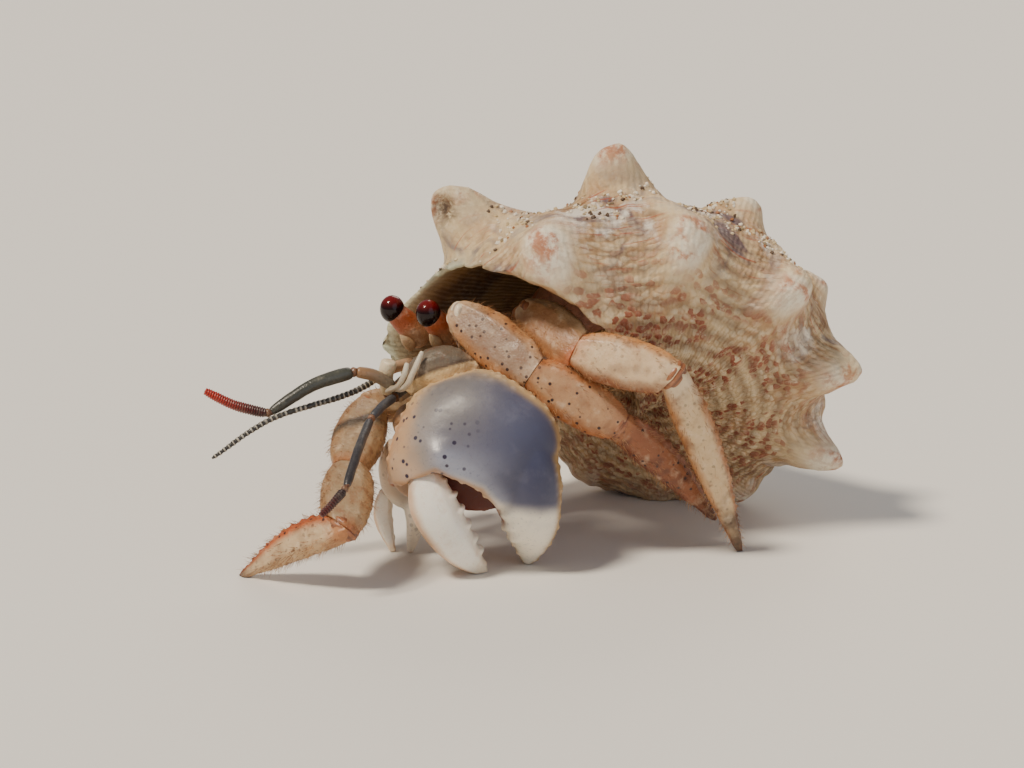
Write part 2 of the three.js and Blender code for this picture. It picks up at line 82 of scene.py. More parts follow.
def painted(points, ground, *layers):
    # a ground colour, and over it each layer: base (1 - w) + shade w, with w its weight at each point
    colour = (toLinear(ground) if isinstance(ground, str) else ground) + np.zeros(points.shape)
    for weight, shade in layers:
        weight = np.asarray(weight)[..., None]
        colour = colour * (1 - weight) + toLinear(shade) * weight
    return colour


def softNoise(points, size, seed=0):
    # corner values from hashed cells of the given size, blended with 3 s^2 - 2 s^3, from -1 to 1
    cells = np.asarray(points, float) / size + 1000.0
    low = np.floor(cells).astype(np.int64)
    s = cells - low
    s = s * s * (3 - 2 * s)
    total = np.zeros(cells.shape[:-1])
    for corner in range(8):
        offset = np.array([corner & 1, corner >> 1 & 1, corner >> 2 & 1])
        x, y, z = np.moveaxis(low + offset, -1, 0)
        hashed = x * 73856093 ^ y * 19349663 ^ z * 83492791 ^ (seed * 2971 + 17)
        hashed = (hashed ^ (hashed >> 13)) * 1274126177 & 0x7FFFFFFF
        value = ((hashed ^ (hashed >> 16)) & 0xFFFF) / 32767.5 - 1
        total += value * np.prod(np.where(offset == 1, s, 1 - s), axis=-1)
    return total


def layeredNoise(points, size, seed=0, layers=3):
    # each layer is half the size and half the strength of the one before
    total = sum(softNoise(points, size / 2 ** i, seed + i) / 2 ** i for i in range(layers))
    return total / (2 - 2.0 ** (1 - layers))


def throughPoints(a, b, c, d, s):
    # Catmull-Rom: (2b + (c-a)s + (2a-5b+4c-d)s^2 + (3b-3c+d-a)s^3) / 2 between b and c
    square, cube = 2 * a - 5 * b + 4 * c - d, 3 * b - 3 * c + d - a
    return (2 * b + (c - a) * s + square * s ** 2 + cube * s ** 3) / 2


def alongPath(points, t):
    # the curve through a list of points or numbers, t from 0 to 1
    points = np.asarray(points, float)
    padded = np.concatenate([[2 * points[0] - points[1]], points, [2 * points[-1] - points[-2]]])
    place = np.clip(t, 0, 1) * (len(points) - 1)
    i = np.minimum(place.astype(int), len(points) - 2)
    s = (place - i)[..., None] if points.ndim > 1 else place - i
    return throughPoints(*(padded[i + k] for k in range(4)), s)


def roundLoop(points, place):
    # the same curve through a closed loop of points, place counted in points
    points = np.asarray(points, float)
    i = np.floor(place).astype(int)
    return throughPoints(*(points[(i + k) % len(points)] for k in (-1, 0, 1, 2)), (place - i)[..., None])


def outwardNormals(points):
    # cross product of the steps along and round the grid, turned away from the middle of its rows
    around = np.roll(points, -1, axis=1) - np.roll(points, 1, axis=1)
    normals = unit(np.cross(np.gradient(points, axis=0), around))
    middle = points.mean(axis=1, keepdims=True)
    return normals * np.sign(np.median(np.sum(normals * (points - middle), axis=-1)))


def swell(points, amount):
    # moves each point outwards by its amount in millimetres
    return points + outwardNormals(points) * amount[..., None]


def limb(through, widths, depths, facing=(0, 0, 1), blunt=3.5, square=2.2):
    # the middle line of a limb, its half widths and half depths along it, the way that it faces, and how
    # blunt its ends and how square its section are; 2 is an ellipse
    return {"through": through, "widths": widths, "depths": depths, "facing": facing, "blunt": blunt,
            "square": square}


def limbGrid(spec, rows, around):
    # point = path(t) + wide a(t) C(angle) + deep b(t) S(angle), C and S squared off a little, and the
    # ends close as (1 - |2t-1|^n)^(1/n)
    t = 0.5 - 0.5 * np.cos(math.pi * np.linspace(0, 1, rows))
    closing = (1 - np.abs(2 * t - 1) ** spec["blunt"]).clip(0) ** (1 / spec["blunt"])
    path = alongPath(spec["through"], t)
    ahead = unit(np.gradient(path, axis=0))
    wide = unit(np.cross(np.broadcast_to(unit(spec["facing"]), ahead.shape), ahead))
    deep = np.cross(ahead, wide)
    angle = np.linspace(0, turnRound, around, endpoint=False)
    power = 2 / spec["square"]
    points = path[:, None]
    for way, halves, wave in ((wide, "widths", np.cos(angle)), (deep, "depths", np.sin(angle))):
        half = (closing * alongPath(spec[halves], t))[:, None, None]
        points = points + way[:, None] * half * (np.sign(wave) * np.abs(wave) ** power)[None, :, None]
    length = np.concatenate([[0], np.cumsum(np.linalg.norm(np.diff(path, axis=0), axis=1))])
    t, angle, length, closing = np.broadcast_arrays(t[:, None], angle, length[:, None], closing[:, None])
    return {"points": points, "t": t, "angle": angle, "length": length, "across": np.cos(angle),
            "up": np.sin(angle), "closing": closing}


def toPlace(points):
    # from millimetres in the crab's own frame to metres in the part's frame
    return ((points + crabOrigin) * millimetre).astype(np.float32)


def store(layers, name, kind, key, values):
    # a layer of values on a mesh's points
    layers.new(name, kind, "POINT").data.foreach_set(key, np.asarray(values, np.float32).ravel())


def storeFields(mesh, fields, paint):
    for field, values in fields.items():
        store(mesh.attributes, field, "FLOAT", "value", values)
    if paint is not None:
        opaque = np.column_stack([paint, np.ones(len(paint))])
        store(mesh.attributes, "paint", "FLOAT_COLOR", "color", opaque)


def meshFromArrays(name, vertices, faces, uvs=None, fields=None, paint=None, place=toPlace):
    # faces is a list of index arrays, three or four corners wide; uvs lie beside them
    mesh = bpy.data.meshes.new(name)
    totals = np.concatenate([np.full(len(f), f.shape[1]) for f in faces]).astype(np.int32)
    corners = np.concatenate([f.ravel() for f in faces]).astype(np.int32)
    starts = np.concatenate([[0], np.cumsum(totals)[:-1]]).astype(np.int32)
    mesh.vertices.add(len(vertices))
    mesh.loops.add(len(corners))
    mesh.polygons.add(len(totals))
    mesh.vertices.foreach_set("co", np.asarray(place(vertices), np.float32).ravel())
    mesh.loops.foreach_set("vertex_index", corners)
    mesh.polygons.foreach_set("loop_start", starts)
    mesh.polygons.foreach_set("loop_total", totals)
    mesh.polygons.foreach_set("use_smooth", np.ones(len(totals), bool))
    if uvs is not None:
        layer = mesh.uv_layers.new(name="surface")
        flat = np.concatenate([u.ravel() for u in uvs])
        layer.data.foreach_set("uv", flat.astype(np.float32))
    storeFields(mesh, fields or {}, paint)
    mesh.update()
    mesh.validate()
    return mesh


def signedVolume(vertices, faces):
    # sum of a . (b x c) / 6 over the triangles
    total = 0.0
    for f in faces:
        for k in range(1, f.shape[1] - 1):
            a, b, c = vertices[f[:, 0]], vertices[f[:, k]], vertices[f[:, k + 1]]
            total += np.sum(a * np.cross(b, c)) / 6
    return total


def tubeField(values):
    # one value for each vertex of a closed grid: its first and last rows become one point each
    flat = values[1:-1].reshape(-1, *values.shape[2:])
    return np.concatenate([values[:1].mean(axis=1), flat, values[-1:].mean(axis=1)])


def closedGrid(points, u, v):
    # four-cornered faces between the rows of a tube, and a fan to the point at each end
    rows, around = points.shape[:2]
    vertices = tubeField(points)
    side = np.arange(around)
    nextSide = (side + 1) % around
    last, tail = 0 * side + len(vertices) - 1, 1 + (rows - 3) * around
    fans = np.concatenate([np.stack([0 * side, 1 + nextSide, 1 + side], -1),
                           np.stack([last, tail + side, tail + nextSide], -1)])
    # the unwrap has one more column than the tube, so that no face runs back across it
    u, v = u[1:-1], v[1:-1]
    seam = v[:, :1] + (v[:, -1:] - v[:, :1]) * around / (around - 1)
    unwrap = np.stack([np.concatenate([u, u[:, :1]], 1), np.concatenate([v, seam], 1)], -1)
    fanUv = np.concatenate([np.stack([unwrap[0, side + k] for k in (0, 1, 0)], 1),
                            np.stack([unwrap[-1, side + k] for k in (0, 0, 1)], 1)])
    row, column = np.meshgrid(np.arange(rows - 3), side, indexing="ij")
    corners = ((0, 0), (0, 1), (1, 1), (1, 0))
    quads = np.stack([1 + (row + r) * around + (column + c) % around for r, c in corners], -1).reshape(-1, 4)
    quadUv = np.stack([unwrap[row + r, column + c] for r, c in corners], 2).reshape(-1, 4, 2)
    if signedVolume(vertices, [quads, fans]) < 0:
        quads, fans, quadUv, fanUv = quads[:, ::-1], fans[:, ::-1], quadUv[:, ::-1], fanUv[:, ::-1]
    return vertices, [quads, fans], [quadUv, fanUv]


def placeObject(name, data):
    made = bpy.data.objects.new(name, data)
    bpy.context.scene.collection.objects.link(made)
    return made


def addPiece(name, mesh, material, nodes=()):
    piece = placeObject(name, mesh)
    mesh.materials.append(material)
    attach(piece, "root")
    if nodes:
        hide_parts(*nodes)


def gridPiece(name, points, grid, material, slot, nodes=(), paint=None, **fields):
    # what would reach below the floor is laid flat on it
    points[..., 2] = np.maximum(points[..., 2], 0)
    fields = {key: tubeField(values) for key, values in fields.items()}
    paint = None if paint is None else tubeField(paint)
    mesh = meshFromArrays(name, *closedGrid(points, grid["length"], grid["angle"]), fields, paint)
    addPiece(name, mesh, material, nodes)


# What a kind of node is set to and which output it gives, unless a call says otherwise.
usualSettings = {"Mix": {"data_type": "RGBA"}, "MapRange": {"interpolation_type": "SMOOTHSTEP"},
                 "Math": {"operation": "MULTIPLY"}, "VectorMath": {"operation": "MULTIPLY_ADD"}}
usualOutput = {"Mix": 2, "TexCoord": "Object"}


def addNode(tree, kind, sources, out=None, **settings):
    # adds a shader node; each source is linked to the input of its name or number, or set as its value.
    # Mix: 0 weight, 6 below, 7 above. MapRange: 0 value, 1 and 2 from, 3 and 4 to. Math: 0 times 1, plus 2.
    made = tree.nodes.new("ShaderNode" + kind)
    for key, value in {**usualSettings.get(kind, {}), **settings}.items():
        setattr(made, key, value)
    for key, source in sources.items():
        if isinstance(source, bpy.types.NodeSocket):
            tree.links.new(source, made.inputs[key])
        else:
            made.inputs[key].default_value = linearColour(source) if isinstance(source, str) else source
    return made.outputs[usualOutput.get(kind, 0) if out is None else out] if len(made.outputs) else made


def newMaterial(name):
    material = bpy.data.materials.new(name)
    material.use_nodes = True
    material.node_tree.nodes.clear()
    return material, partial(addNode, material.node_tree)


# Sizes of the clouds, spots and pits are millimetres, and the other numbers are strengths.
usualCuticle = {"pale": "#efe0cc", "fade": 0.4, "deepen": 1.25, "pit": 0.3, "bump": 0.35, "coat": 0.2,
                "depth": 0.12}


def cuticle(name, spec):
    # Crab cuticle: chitin hardened with lime. It gives the eye a thin waxy gloss over clouded colour,
    # pits about a third of a millimetre wide, and small dark spots where tufts of bristle sit.
    spec = {**usualCuticle, **spec}
    material, add = newMaterial(name)
    place = add("TexCoord", {})
    colour = add("Attribute", {}, "Color", attribute_name="paint")
    cloud = add("TexNoise", {"Vector": place, "Scale": 1 / (spec["cloud"] * millimetre), "Detail": 5.0,
                             "Roughness": 0.62})
    fine = add("TexNoise", {"Vector": place, "Scale": 1 / (0.35 * millimetre), "Detail": 4.0})
    layers = [
        (add("MapRange", {0: cloud, 1: 0.5, 2: 0.78, 4: spec["fade"]}), spec["pale"]),
        (add("MapRange", {0: cloud, 1: 0.5, 2: 0.22, 4: spec["mottle"]}), spec["dark"]),
        (add("MapRange", {0: fine, 1: 0.56, 2: 0.75, 4: 0.25}), spec["dark"]),
    ]
    if "spotSpacing" in spec:
        cells = add("TexVoronoi", {"Vector": place, "Scale": 1 / (spec["spotSpacing"] * millimetre),
                                   "Randomness": 0.8})
        radius = spec["spotRadius"] / spec["spotSpacing"]
        spotted = add("Attribute", {}, "Fac", attribute_name="spots")
        dot = add("MapRange", {0: cells, 1: radius * 1.25, 2: radius * 0.75, 4: spotted})
        layers.append((dot, spec["spot"]))
    for weight, shade in layers:
        colour = add("Mix", {0: weight, 6: colour, 7: shade})
    # a power above 1 keeps the deep tones under a strong light
    colour = add("Gamma", {"Color": colour, "Gamma": spec["deepen"]})
    pits = add("TexVoronoi", {"Vector": place, "Scale": 1 / (spec["pit"] * millimetre)})
    height = add("MapRange", {0: pits, 1: 0.0, 2: 0.6, 4: 0.5})
    height = add("Math", {0: height, 1: fine}, operation="ADD")
    bump = add("Bump", {"Height": height, "Strength": spec["bump"], "Distance": 0.12 * millimetre})
    rough = add("MapRange", {0: cloud, 1: 0.3, 2: 0.7, 3: spec["rough"] - 0.07, 4: spec["rough"] + 0.08},
                interpolation_type="LINEAR")
    if "mattRough" in spec:
        matt = add("Attribute", {}, "Fac", attribute_name="matt")
        rough = add("Math", {0: matt, 1: spec["mattRough"], 2: rough}, operation="MULTIPLY_ADD")
    shader = add("BsdfPrincipled", {
        "Base Color": colour, "Normal": bump, "Roughness": rough, "IOR": 1.53,
        "Coat Weight": spec["coat"], "Coat Roughness": 0.22,
        "Subsurface Weight": spec["depth"], "Subsurface Scale": 0.8 * millimetre,
        "Subsurface Radius": (1.0, 0.5, 0.3),
    })
    add("OutputMaterial", {"Surface": shader})
    return material


legCuticle = cuticle("legCuticle", {
    "cloud": 1.7, "dark": "#8f5430", "mottle": 0.55, "rough": 0.46, "spotSpacing": 0.95, "spotRadius": 0.19,
    "spot": "#3a1d1c", "deepen": 1.12, "pale": "#f0dcc0", "fade": 0.5, "coat": 0.12,
})
clawCuticle = cuticle("clawCuticle", {
    "cloud": 3.6, "dark": "#5d5a78", "mottle": 0.16, "rough": 0.24, "spotSpacing": 1.2, "spotRadius": 0.24,
    "spot": "#453c52", "pale": "#d9d6dc", "fade": 0.1, "bump": 0.12, "coat": 0.08, "depth": 0.1,
    "mattRough": 0.26,
})
fingerLime = cuticle("fingerLime", {
    "cloud": 2.2, "dark": "#cfa987", "mottle": 0.45, "rough": 0.36, "pale": "#fffaf0", "fade": 0.4,
    "bump": 0.25, "deepen": 1.0, "depth": 0.15,
})
bodyCuticle = cuticle("bodyCuticle", {
    "cloud": 1.6, "dark": "#8a5f40", "mottle": 0.5, "rough": 0.52, "coat": 0.04, "depth": 0.05, "bump": 0.5,
})
feelerCuticle = cuticle("feelerCuticle", {
    "cloud": 1.2, "dark": "#2c2a29", "mottle": 0.3, "rough": 0.4, "pale": "#9a9484", "depth": 0.05,
})
mouthCuticle = cuticle("mouthCuticle", {"cloud": 1.5, "dark": "#a98a66", "mottle": 0.35, "rough": 0.4})
softSkin = cuticle("softSkin", {
    "cloud": 1.6, "dark": "#7c4434", "mottle": 0.5, "rough": 0.38, "pit": 0.6, "bump": 0.6, "depth": 0.25,
    "pale": "#e2b79c",
})


def eyeMaterial():
    # Cornea: a clear wet skin over tiny dark facets. It gives a near black ball with a sharp highlight;
    # the wine red on its top is painted light.
    material, add = newMaterial("wetCornea")
    place = add("TexCoord", {})
    facets = add("TexVoronoi", {"Vector": place, "Scale": 1 / (0.09 * millimetre)})
    shader = add("BsdfPrincipled", {
        "Base Color": add("Attribute", {}, "Color", attribute_name="paint"),
        "Normal": add("Bump", {"Height": facets, "Strength": 0.05, "Distance": 0.02 * millimetre}),
        "Roughness": 0.35, "IOR": 1.34, "Specular IOR Level": 0.1, "Coat Weight": 1.0, "Coat IOR": 1.34,
        "Coat Roughness": 0.04,
    })
    add("OutputMaterial", {"Surface": shader})
    return material


def bristleMaterial():
    # Setae: stiff amber chitin hairs, nearly clear at the tips. They give a soft rusty fringe.
    material, add = newMaterial("amberBristle")
    place = add("TexCoord", {})
    cloud = add("TexNoise", {"Vector": place, "Scale": 1 / (1.5 * millimetre), "Detail": 2.0})
    shade = add("MapRange", {0: cloud, 1: 0.35, 2: 0.65})
    colour = add("Mix", {0: shade, 6: "#7a4526", 7: "#d8a876"})
    add("OutputMaterial", {"Surface": add("BsdfPrincipled", {"Base Color": colour, "Roughness": 0.5})})
    return material


def plainMaterial(name, colour, rough):
    material, add = newMaterial(name)
    if colour == "paint":
        colour = add("Attribute", {}, "Color", attribute_name="paint")
    add("OutputMaterial", {"Surface": add("BsdfPrincipled", {"Base Color": colour, "Roughness": rough})})
    return material


def shellMaterial():
    # Aragonite: snail shell lime, worn by sand. It gives a cream ground with rusty flecks in spiral rows,
    # mauve where the top layer has gone, chalky white on high places that is partly a painted highlight,
    # and painted shade in the low ones.
    material, add = newMaterial("wornShellLime")
    place = add("TexCoord", {})
    spiral = add("UVMap", {}, uv_map="surface")
    knob, worn, flecks, groove, sanded, inside, rim, crest, broken = (
        add("Attribute", {}, "Fac", attribute_name=name)
        for name in ("knob", "worn", "flecks", "groove", "sand", "inside", "rim", "crest", "broken"))
    # patches, grains and lumps: millimetres across, detail, roughness and how much they are bent
    patch, grain, mauve, fine = (
        add("TexNoise", {"Vector": place, "Scale": 1 / (size * millimetre), "Detail": detail,
                         "Roughness": rough, "Distortion": bend})
        for size, detail, rough, bend in ((7, 6.0, 0.62, 0.0), (1.1, 6.0, 0.7, 0.0), (4.0, 5.0, 0.5, 0.8),
                                          (0.45, 5.0, 0.7, 0.0)))
    ground = add("MapRange", {0: patch, 1: 0.42, 2: 0.62})
    # beads about 1.5 mm by 0.6 mm in slanting rows, painted shade in brown between them, and some of them
    # rusty
    warp = add("TexNoise", {"Vector": spiral, "Scale": 6.0, "Detail": 3.0}, 1)
    bent = add("VectorMath", {0: warp, 1: (0.10, 0.14, 0.0), 2: spiral})
    rows = add("Mapping", {"Vector": bent, "Scale": (10.5, 11.5, 1.0), "Rotation": (0, 0, 0.5)})
    beads = add("TexVoronoi", {"Vector": rows, "Scale": 1.0, "Randomness": 0.75}, voronoi_dimensions="2D")
    onBase = add("MapRange", {0: patch, 1: 0.3, 2: 0.55, 3: 0.35, 4: 1.0})
    onBase = add("Math", {0: onBase, 1: flecks})
    beadTop = add("MapRange", {0: beads, 1: 0.62, 2: 0.18, 4: onBase})
    beadGapShade = add("MapRange", {0: grain, 1: 0.35, 2: 0.65, 3: 0.05, 4: 0.5})
    gaps = add("MapRange", {0: beads, 1: 0.38, 2: 0.62, 4: beadGapShade})
    # the rusty beads come in bands that cross the rows
    bands = add("Mapping", {"Vector": spiral, "Scale": (1.3, 1.9, 1.0), "Rotation": (0, 0, 0.75)})
    band = add("TexNoise", {"Vector": bands, "Scale": 1.0, "Detail": 3.0, "Distortion": 0.4})
    band = add("MapRange", {0: band, 1: 0.43, 2: 0.53, 4: 0.95})
    kept = add("SeparateColor", {"Color": beads.node.outputs["Color"]})
    rusty = add("MapRange", {0: kept, 1: 0.40, 2: 0.48, 4: band})
    rusty = add("MapRange", {0: grain, 1: 0.74, 2: 0.5, 4: rusty})
    rusty = add("MapRange", {0: beads, 1: 0.62, 2: 0.38, 4: rusty})
    rusty = add("Math", {0: rusty, 1: flecks})
    lower = add("MapRange", {0: worn, 1: 0.0, 2: 1.0, 3: 1.0, 4: 0.2}, interpolation_type="LINEAR")
    # thin rusty streaks across the worn slopes, and blushes and stains on the tips of the knobs
    streaks = add("Mapping", {"Vector": spiral, "Scale": (2.6, 16.0, 1.0), "Rotation": (0, 0, 0.25)})
    streak = add("TexNoise", {"Vector": streaks, "Scale": 1.0, "Detail": 4.0, "Distortion": 0.6})
    streak = add("MapRange", {0: streak, 1: 0.60, 2: 0.66, 4: worn})
    tips = add("MapRange", {0: knob, 1: 0.45, 2: 0.85, 4: 0.85})
    blush = add("MapRange", {0: mauve, 1: 0.45, 2: 0.58, 4: tips})
    stain = add("MapRange", {0: grain, 1: 0.56, 2: 0.42, 4: tips})
    # sand on the shoulder, grains about 0.5 mm, each with its own shade
    sand = add("TexVoronoi", {"Vector": place, "Scale": 1 / (0.5 * millimetre)})
    sandCell = add("SeparateColor", {"Color": sand.node.outputs["Color"]})
    sandCell = add("MapRange", {0: sandCell, 1: 0.1, 2: 0.9})
    sandy = add("MapRange", {0: grain, 1: 0.47, 2: 0.58, 4: sanded})
    layers = [
        (ground, "#c79f74"),
        (add("MapRange", {0: grain, 1: 0.5, 2: 0.7, 4: 0.6}), "#ecdfc4"),    # chalk
        (add("MapRange", {0: mauve, 1: 0.46, 2: 0.64, 4: worn}), "#7d6b70"),
        (add("MapRange", {0: mauve, 1: 0.48, 2: 0.32, 4: worn}), "#9a744e"),
        # chalky white worn patches, which are also a painted highlight on the slopes
        (add("MapRange", {0: patch, 1: 0.55, 2: 0.64, 4: worn}), "#f4ece0"),
        # painted shade: brown in the gaps between the beads
        (add("Math", {0: gaps, 1: onBase}), "#7d5c3c"),
        (add("Math", {0: beadTop, 1: 0.4}), "#efe2c6"),
        (add("Math", {0: rusty, 1: lower}), "#984425"),
        (add("Math", {0: streak, 1: 0.75}), "#b4542c"),
        (add("MapRange", {0: crest, 1: 0.25, 2: 0.85, 4: 0.7}), "#efe0be"),  # cream folds
        # painted highlight: white patches on the tips of the knobs
        (add("MapRange", {0: patch, 1: 0.44, 2: 0.58, 4: tips}), "#f6edda"),
        (add("MapRange", {0: grain, 1: 0.66, 2: 0.42, 4: blush}), "#bf6a45"),
        (add("Math", {0: stain, 1: 0.35}), "#b98f62"),
        (add("MapRange", {0: grain, 1: 0.62, 2: 0.45, 4: broken}), "#4a3222"),
        # painted shade: brown in the grooves between the ribs and cords
        (add("Math", {0: groove, 1: 0.6}), "#6a4a32"),
        (sandy, add("Mix", {0: sandCell, 6: "#755a3c", 7: "#e6d6b4"})),
        # olive brown inside the mouth: the nacre painted darker, as it looks in shade
        (inside, add("Mix", {0: ground, 6: "#9a7b4d", 7: "#6a4c2c"})),     # olive brown
        (rim, "#d8dcc2"),
    ]
    colour = "#e0c69c"
    for weight, shade in layers:
        colour = add("Mix", {0: weight, 6: colour, 7: shade})
    colour = add("Gamma", {"Color": colour, "Gamma": 1.12})
    # growth lines, sand and beads, added up in their shares of the bump's height
    growth = add("TexWave", {"Vector": spiral, "Scale": 7.0, "Distortion": 3.0, "Detail": 3.0}, 1)
    height = add("MapRange", {0: sand, 1: 0.6, 2: 0.0, 4: sandy})
    for pattern, share in ((fine, 0.8), (growth, 0.35), (beadTop, 0.8)):
        height = add("Math", {0: pattern, 1: share, 2: height}, operation="MULTIPLY_ADD")
    shader = add("BsdfPrincipled", {
        "Base Color": colour, "IOR": 1.5,
        "Roughness": add("MapRange", {0: grain, 1: 0.35, 2: 0.7, 3: 0.44, 4: 0.70}),
        "Normal": add("Bump", {"Height": height, "Strength": 0.6, "Distance": 0.3 * millimetre}),
    })
    add("OutputMaterial", {"Surface": shader})
    return material


corneaFinish = eyeMaterial()
bristleFinish = bristleMaterial()
shellFinish = shellMaterial()
# beach sand, quartz and broken shell, from white through straw to black
sandFinish = plainMaterial("beachSand", "paint", 0.55)
# painted board, pale, even and without gloss
floorFinish = plainMaterial("mattBoard", "#efece6", 0.9)
print("materials made")


shell = {
    "apex": (-0.1, 43.1, 24.8),
    "axis": (0.527, -0.789, -0.316),
    "growth": 0.134,
    "lipAngle": 2.324,
    "knobSpacing": 0.565,
    "middle": (17.9, 33.4),
    "bodyTurns": 1.18,
    "spireTurns": 4.6,
    "hollowTurns": 0.72,
    "wall": 0.115,
    "lipWall": 0.035,
    "lipFlare": 2.6,
    "knobHalfTurn": 0.168,
    "knobHalfSide": 0.76,
    "cordSpacing": 0.24,     # in places of the outline, about 1.7 mm
    "cordHeight": 0.12,
    "foldHeight": 0.12,
    "foldRate": 44,          # radians of the folds' wave for each radian round the shell
    "wear": 0.34,
    "knobWear": 0.3,
    "broken": (3.5, -4.7, 39.7),       # the hollow in the broken first knob
    "brokenHalf": (1.35, 2.0, 1.7),
    "brokenDepth": 1.15,
    # how far out and along the axis each stretch of the lip lies, and its lead in radians
    "outline": [
        (13.7, 16.8, 0.95),    # suture
        (23.0, 25.4, 0.80),    # shoulder
        (26.8, 29.2, 0.56),    # upper slope
        (28.6, 32.0, 0.265),   # upper keel
        (30.8, 37.6, 0.05),    # side
        (29.9, 43.2, -0.123),  # lower keel
        (22.8, 47.4, -0.38),   # base
        (12.8, 48.2, -0.58),   # inner base
        (4.4, 44.6, -0.62),    # foot of the columella
        (1.8, 36.0, -0.40),    # columella
        (1.7, 24.4, 0.10),     # inner corner
        (7.1, 19.6, 0.60),     # wall against the whorl before
    ],
    # each row of knobs: its place on the outline, first knob in radians behind the lip, lean, heights
    "knobRows": [
        (3, 0.074, 0.2, [9.0, 8.0, 4.4, 3.6, 3.0, 2.0]),
        (5.35, 0.349, 0.6, [3.2, 3.2, 4.1, 6.0, 7.4, 2.4, 1.4, 1.2, 1.6]),
    ],
}


def onSpiral(phi, out, along):
    # apex + e^(growth phi) (out (cos a cross + sin a rise) + along axis), a = lip angle + phi
    base = unit(shell["axis"])
    cross = unit(np.cross([0, 0, 1], base))
    angle = np.asarray(shell["lipAngle"] + phi)[..., None]
    radial = cross * np.cos(angle) + np.cross(base, cross) * np.sin(angle)
    size = np.asarray(np.exp(shell["growth"] * phi))[..., None]
    out, along = (np.asarray(values)[..., None] for values in (out, along))
    return np.array(shell["apex"]) + size * (out * radial + along * base)


def knobField(turn, place):
    # for each row: height e^-((r / 0.76)^2.2), r the distance from the nearest knob in its own half widths
    out, along, mask = 0.0, 0.0, 0.0
    for rowPlace, first, lean, heights in shell["knobRows"]:
        nearest = np.maximum(0, np.round((-turn - first) / shell["knobSpacing"]))
        aside = (turn + first + nearest * shell["knobSpacing"]) / shell["knobHalfTurn"]
        shape = np.exp(-(np.hypot(aside, (place - rowPlace) / shell["knobHalfSide"]) / 0.76) ** 2.2)
        tall = np.array(heights)[np.minimum(nearest.astype(int), len(heights) - 1)]
        out = out + tall * shape
        along = along + lean * tall * shape
        mask = np.maximum(mask, shape * np.minimum(tall / 3, 1))
    return out, along, mask


def ribField(turn, place):
    # low folds that run aslant from each upper knob to the lower one: cos^2 of the turn from the fold
    upper, lower = (row[1] for row in shell["knobRows"])
    slant = upper + (place - 3) / 2 * (lower - upper)
    wave = np.cos(math.pi * (turn + slant) / shell["knobSpacing"]) ** 2
    return wave * (smoothStep(0.6, 2.6, place) * smoothStep(7.0, 4.6, place))


def whorlSurface(phi, place, shrink):
    # the outline at each place, turned by phi and its lead; shrink draws it in towards its middle
    out, along, lead = np.moveaxis(roundLoop(shell["outline"], place), -1, 0)
    turn = phi + lead
    nearLip = np.clip(1 + phi / 0.35, 0, 1) ** 2
    out = out + shell["lipFlare"] * nearLip * np.exp(-((place - 2) / 1.3) ** 2)
    knobOut, knobAlong, knobMask = knobField(turn, place)
    outside = (shrink <= 0)
    ribs = ribField(turn, place)
    out = out + np.where(outside, knobOut + 0.9 * ribs, 0)
    along = along + np.where(outside, knobAlong, 0)
    middleOut, middleAlong = shell["middle"]
    # whorls that the next one covers are drawn in a little, so that they stay inside its wall
    covered = smoothStep(-turnRound + 0.9, -turnRound - 0.2, phi) * smoothStep(4.4, 5.2, place)
    covered = covered * smoothStep(11.9, 11.4, place) * 0.14
    draw = (1 - np.maximum(shrink, 0)) * (1 - covered)
    points = onSpiral(turn, middleOut + (out - middleOut) * draw, middleAlong + (along - middleAlong) * draw)
    return points, turn, knobMask, ribs


def brokenHollow(points):
    # e^-(r^4), r the distance from the middle of the hollow in half widths
    r = np.linalg.norm((points - np.array(shell["broken"])) / np.array(shell["brokenHalf"]), axis=-1)
    return np.exp(-r ** 4)


def shellRelief(points, turn, place, knobMask, outside):
    # beaded spiral cords, growth folds and worn patches, in millimetres
    size = np.exp(shell["growth"] * turn)
    cord = np.cos(turnRound * place / shell["cordSpacing"])
    row = np.floor(place / shell["cordSpacing"] + 0.5)
    beads = 0.65 + 0.35 * np.cos(turnRound * turn / (shell["knobSpacing"] / 13) + 2.0 * row)
    onBase = smoothStep(4.0, 5.2, place) * smoothStep(9.0, 8.2, place)
    onTop = smoothStep(0.2, 0.8, place) * smoothStep(4.6, 3.6, place) * 0.6
    strength = (onBase + onTop) * (0.75 + 0.35 * layeredNoise(points, 5.0, 4))
    cords = shell["cordHeight"] * size * cord * beads * strength
    folds = shell["foldHeight"] * np.sin(turn * shell["foldRate"] + 2.5 * softNoise(points, 4.0, 8))
    folds = folds * smoothStep(0.2, 1.5, place) * smoothStep(9.5, 8.0, place) * (1 - 0.8 * knobMask)
    wear = shell["wear"] * layeredNoise(points, 3.4, 21, 4)
    wear = wear + shell["knobWear"] * knobMask * layeredNoise(points, 1.7, 33)
    wear = wear - shell["brokenDepth"] * brokenHollow(points) * (0.8 + 0.5 * softNoise(points, 0.6, 35))
    return np.where(outside, cords + folds + wear, 0.05 * layeredNoise(points, 3.0, 5)), cord * onBase


